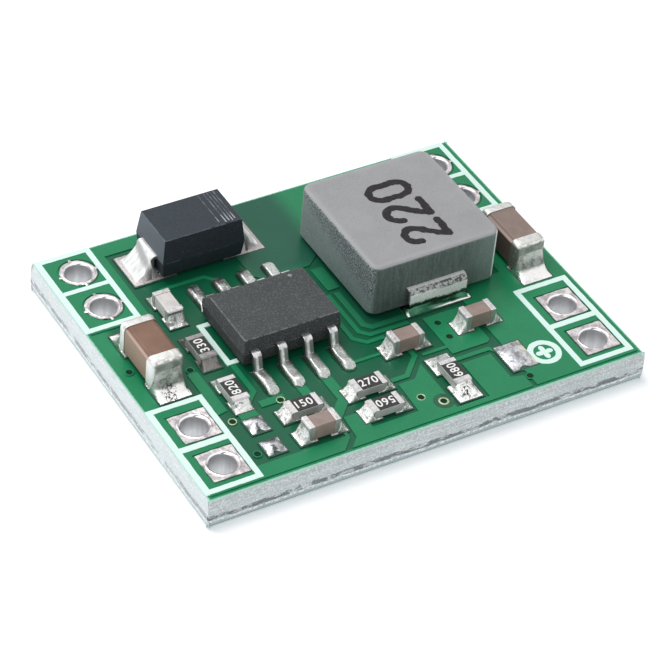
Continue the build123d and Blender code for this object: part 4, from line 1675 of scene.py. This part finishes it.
class BOARD_OT_stage(bpy.types.Operator):
    """White floor, soft light and the camera"""

    bl_idname = "board.stage"
    bl_label = "Stage"

    def execute(self, context):
        studio = context.scene.board_studio
        self.camera(context, studio)
        self.floor()
        self.light(context, studio)
        context.scene.view_settings.view_transform = "Standard"
        return {"FINISHED"}

    def camera(self, context, studio):
        """The photo's camera: turned round the board, raised and rolled."""
        turn, rise, roll = studio.azimuth, studio.elevation, studio.roll
        back = Vector(
            (math.sin(turn) * math.cos(rise), -math.cos(turn) * math.cos(rise), math.sin(rise))
        )
        right = Vector((math.cos(turn), math.sin(turn), 0))
        up = back.cross(right)
        across = math.cos(roll) * right + math.sin(roll) * up
        above = -math.sin(roll) * right + math.cos(roll) * up
        place = Matrix((across, above, back)).transposed().to_4x4()
        aside = across * AIM[0] + above * AIM[1]
        place.translation = back * studio.distance + aside * MM
        data = bpy.data.cameras.new("camera")
        data.sensor_width = 36
        data.lens = studio.focus * data.sensor_width / PICTURE_SIZE
        data.clip_start, data.clip_end = 0.01, 10
        camera = bpy.data.objects.new("camera", data)
        camera.matrix_world = place
        context.scene.collection.objects.link(camera)
        context.scene.camera = camera

    def floor(self):
        """A wide white disc below the board."""
        finish = Shader("floor_white")
        white = finish.done(
            base_color=(1, 1, 1), roughness=0.9, specular_ior_level=0.0,
            emission_color=(0.9, 0.96, 1, 1), emission_strength=0.2,
        )
        bm = bmesh.new()
        bmesh.ops.create_circle(bm, cap_ends=True, segments=96, radius=FLOOR_RADIUS)
        bmesh.ops.scale(bm, vec=(MM, MM, MM), verts=bm.verts)
        mesh = bpy.data.meshes.new("floor")
        bm.to_mesh(mesh)
        bm.free()
        mesh.materials.append(white)
        floor = bpy.data.objects.new("floor", mesh)
        bpy.context.scene.collection.objects.link(floor)

    def light(self, context, studio):
        """A sky that is soft as a light and white when seen, and two round lamps."""
        world = bpy.data.worlds.new("soft_sky")
        world.use_nodes = True
        sky = Nodes(world.node_tree)
        seen, mirrored, through = (
            sky.node("LightPath", output=f"Is {ray} Ray")
            for ray in ("Camera", "Glossy", "Transmission")
        )
        soft = sky.node(
            "Background", sockets={"Color": (0.96, 0.98, 1.0, 1), "Strength": studio.sky}
        )
        white = sky.node("Background", sockets={"Color": (1, 1, 1, 1)})
        direct = seen.most(mirrored.most(through))
        mixed = sky.node("MixShader", sockets={0: direct, 1: soft, 2: white})
        sky.node("OutputWorld", sockets={"Surface": mixed})
        context.scene.world = world
        # Name, place, diameter and power of each lamp
        lamps = (
            ("key_lamp", Vector((-45, 80, 205)), 150, studio.key),
            ("fill_lamp", Vector((-150, -90, 120)), 140, studio.key * 0.25),
        )
        for name, spot, diameter, power in lamps:
            data = bpy.data.lights.new(name, "AREA")
            data.shape = "DISK"
            data.size = diameter * MM
            data.energy = power
            lamp = bpy.data.objects.new(name, data)
            lamp.location = spot * MM
            lamp.rotation_mode = "QUATERNION"
            lamp.rotation_quaternion = (-spot).to_track_quat("-Z", "Y")
            context.scene.collection.objects.link(lamp)


class BOARD_PT_panel(bpy.types.Panel):
    """Lists the steps that dress the board"""

    bl_idname = "BOARD_PT_panel"
    bl_label = "Converter board"
    bl_space_type = "VIEW_3D"
    bl_region_type = "UI"
    bl_category = "Board"

    def draw(self, context):
        for step in STEPS:
            self.layout.operator(step.bl_idname)
        for group in GROUPS:
            holder = getattr(context.scene, group)
            for name in GROUPS[group].__annotations__:
                self.layout.prop(holder, name)


STEPS = (
    BOARD_OT_laminate, BOARD_OT_holes, BOARD_OT_print, BOARD_OT_coil, BOARD_OT_chip,
    BOARD_OT_diode, BOARD_OT_capacitors, BOARD_OT_resistors, BOARD_OT_solder, BOARD_OT_stage,
)
GROUPS = {
    "board_finish": BoardFinish,
    "board_metal": MetalFinish,
    "board_parts": PartFinish,
    "board_sizes": FineSizes,
    "board_studio": Studio,
}


def register():
    """Adds the props, the steps and the panel."""
    for made in (*GROUPS.values(), *STEPS, BOARD_PT_panel):
        bpy.utils.register_class(made)
    for name, group in GROUPS.items():
        setattr(bpy.types.Scene, name, PointerProperty(type=group))


def unregister():
    """Takes away the panel, the steps and the props."""
    for name in GROUPS:
        delattr(bpy.types.Scene, name)
    for made in (BOARD_PT_panel, *STEPS, *GROUPS.values()):
        bpy.utils.unregister_class(made)


def main():
    """Dresses the board."""
    register()
    for step in STEPS:
        family, name = step.bl_idname.split(".")
        getattr(getattr(bpy.ops, family), name)()


if __name__ == "__main__":
    main()
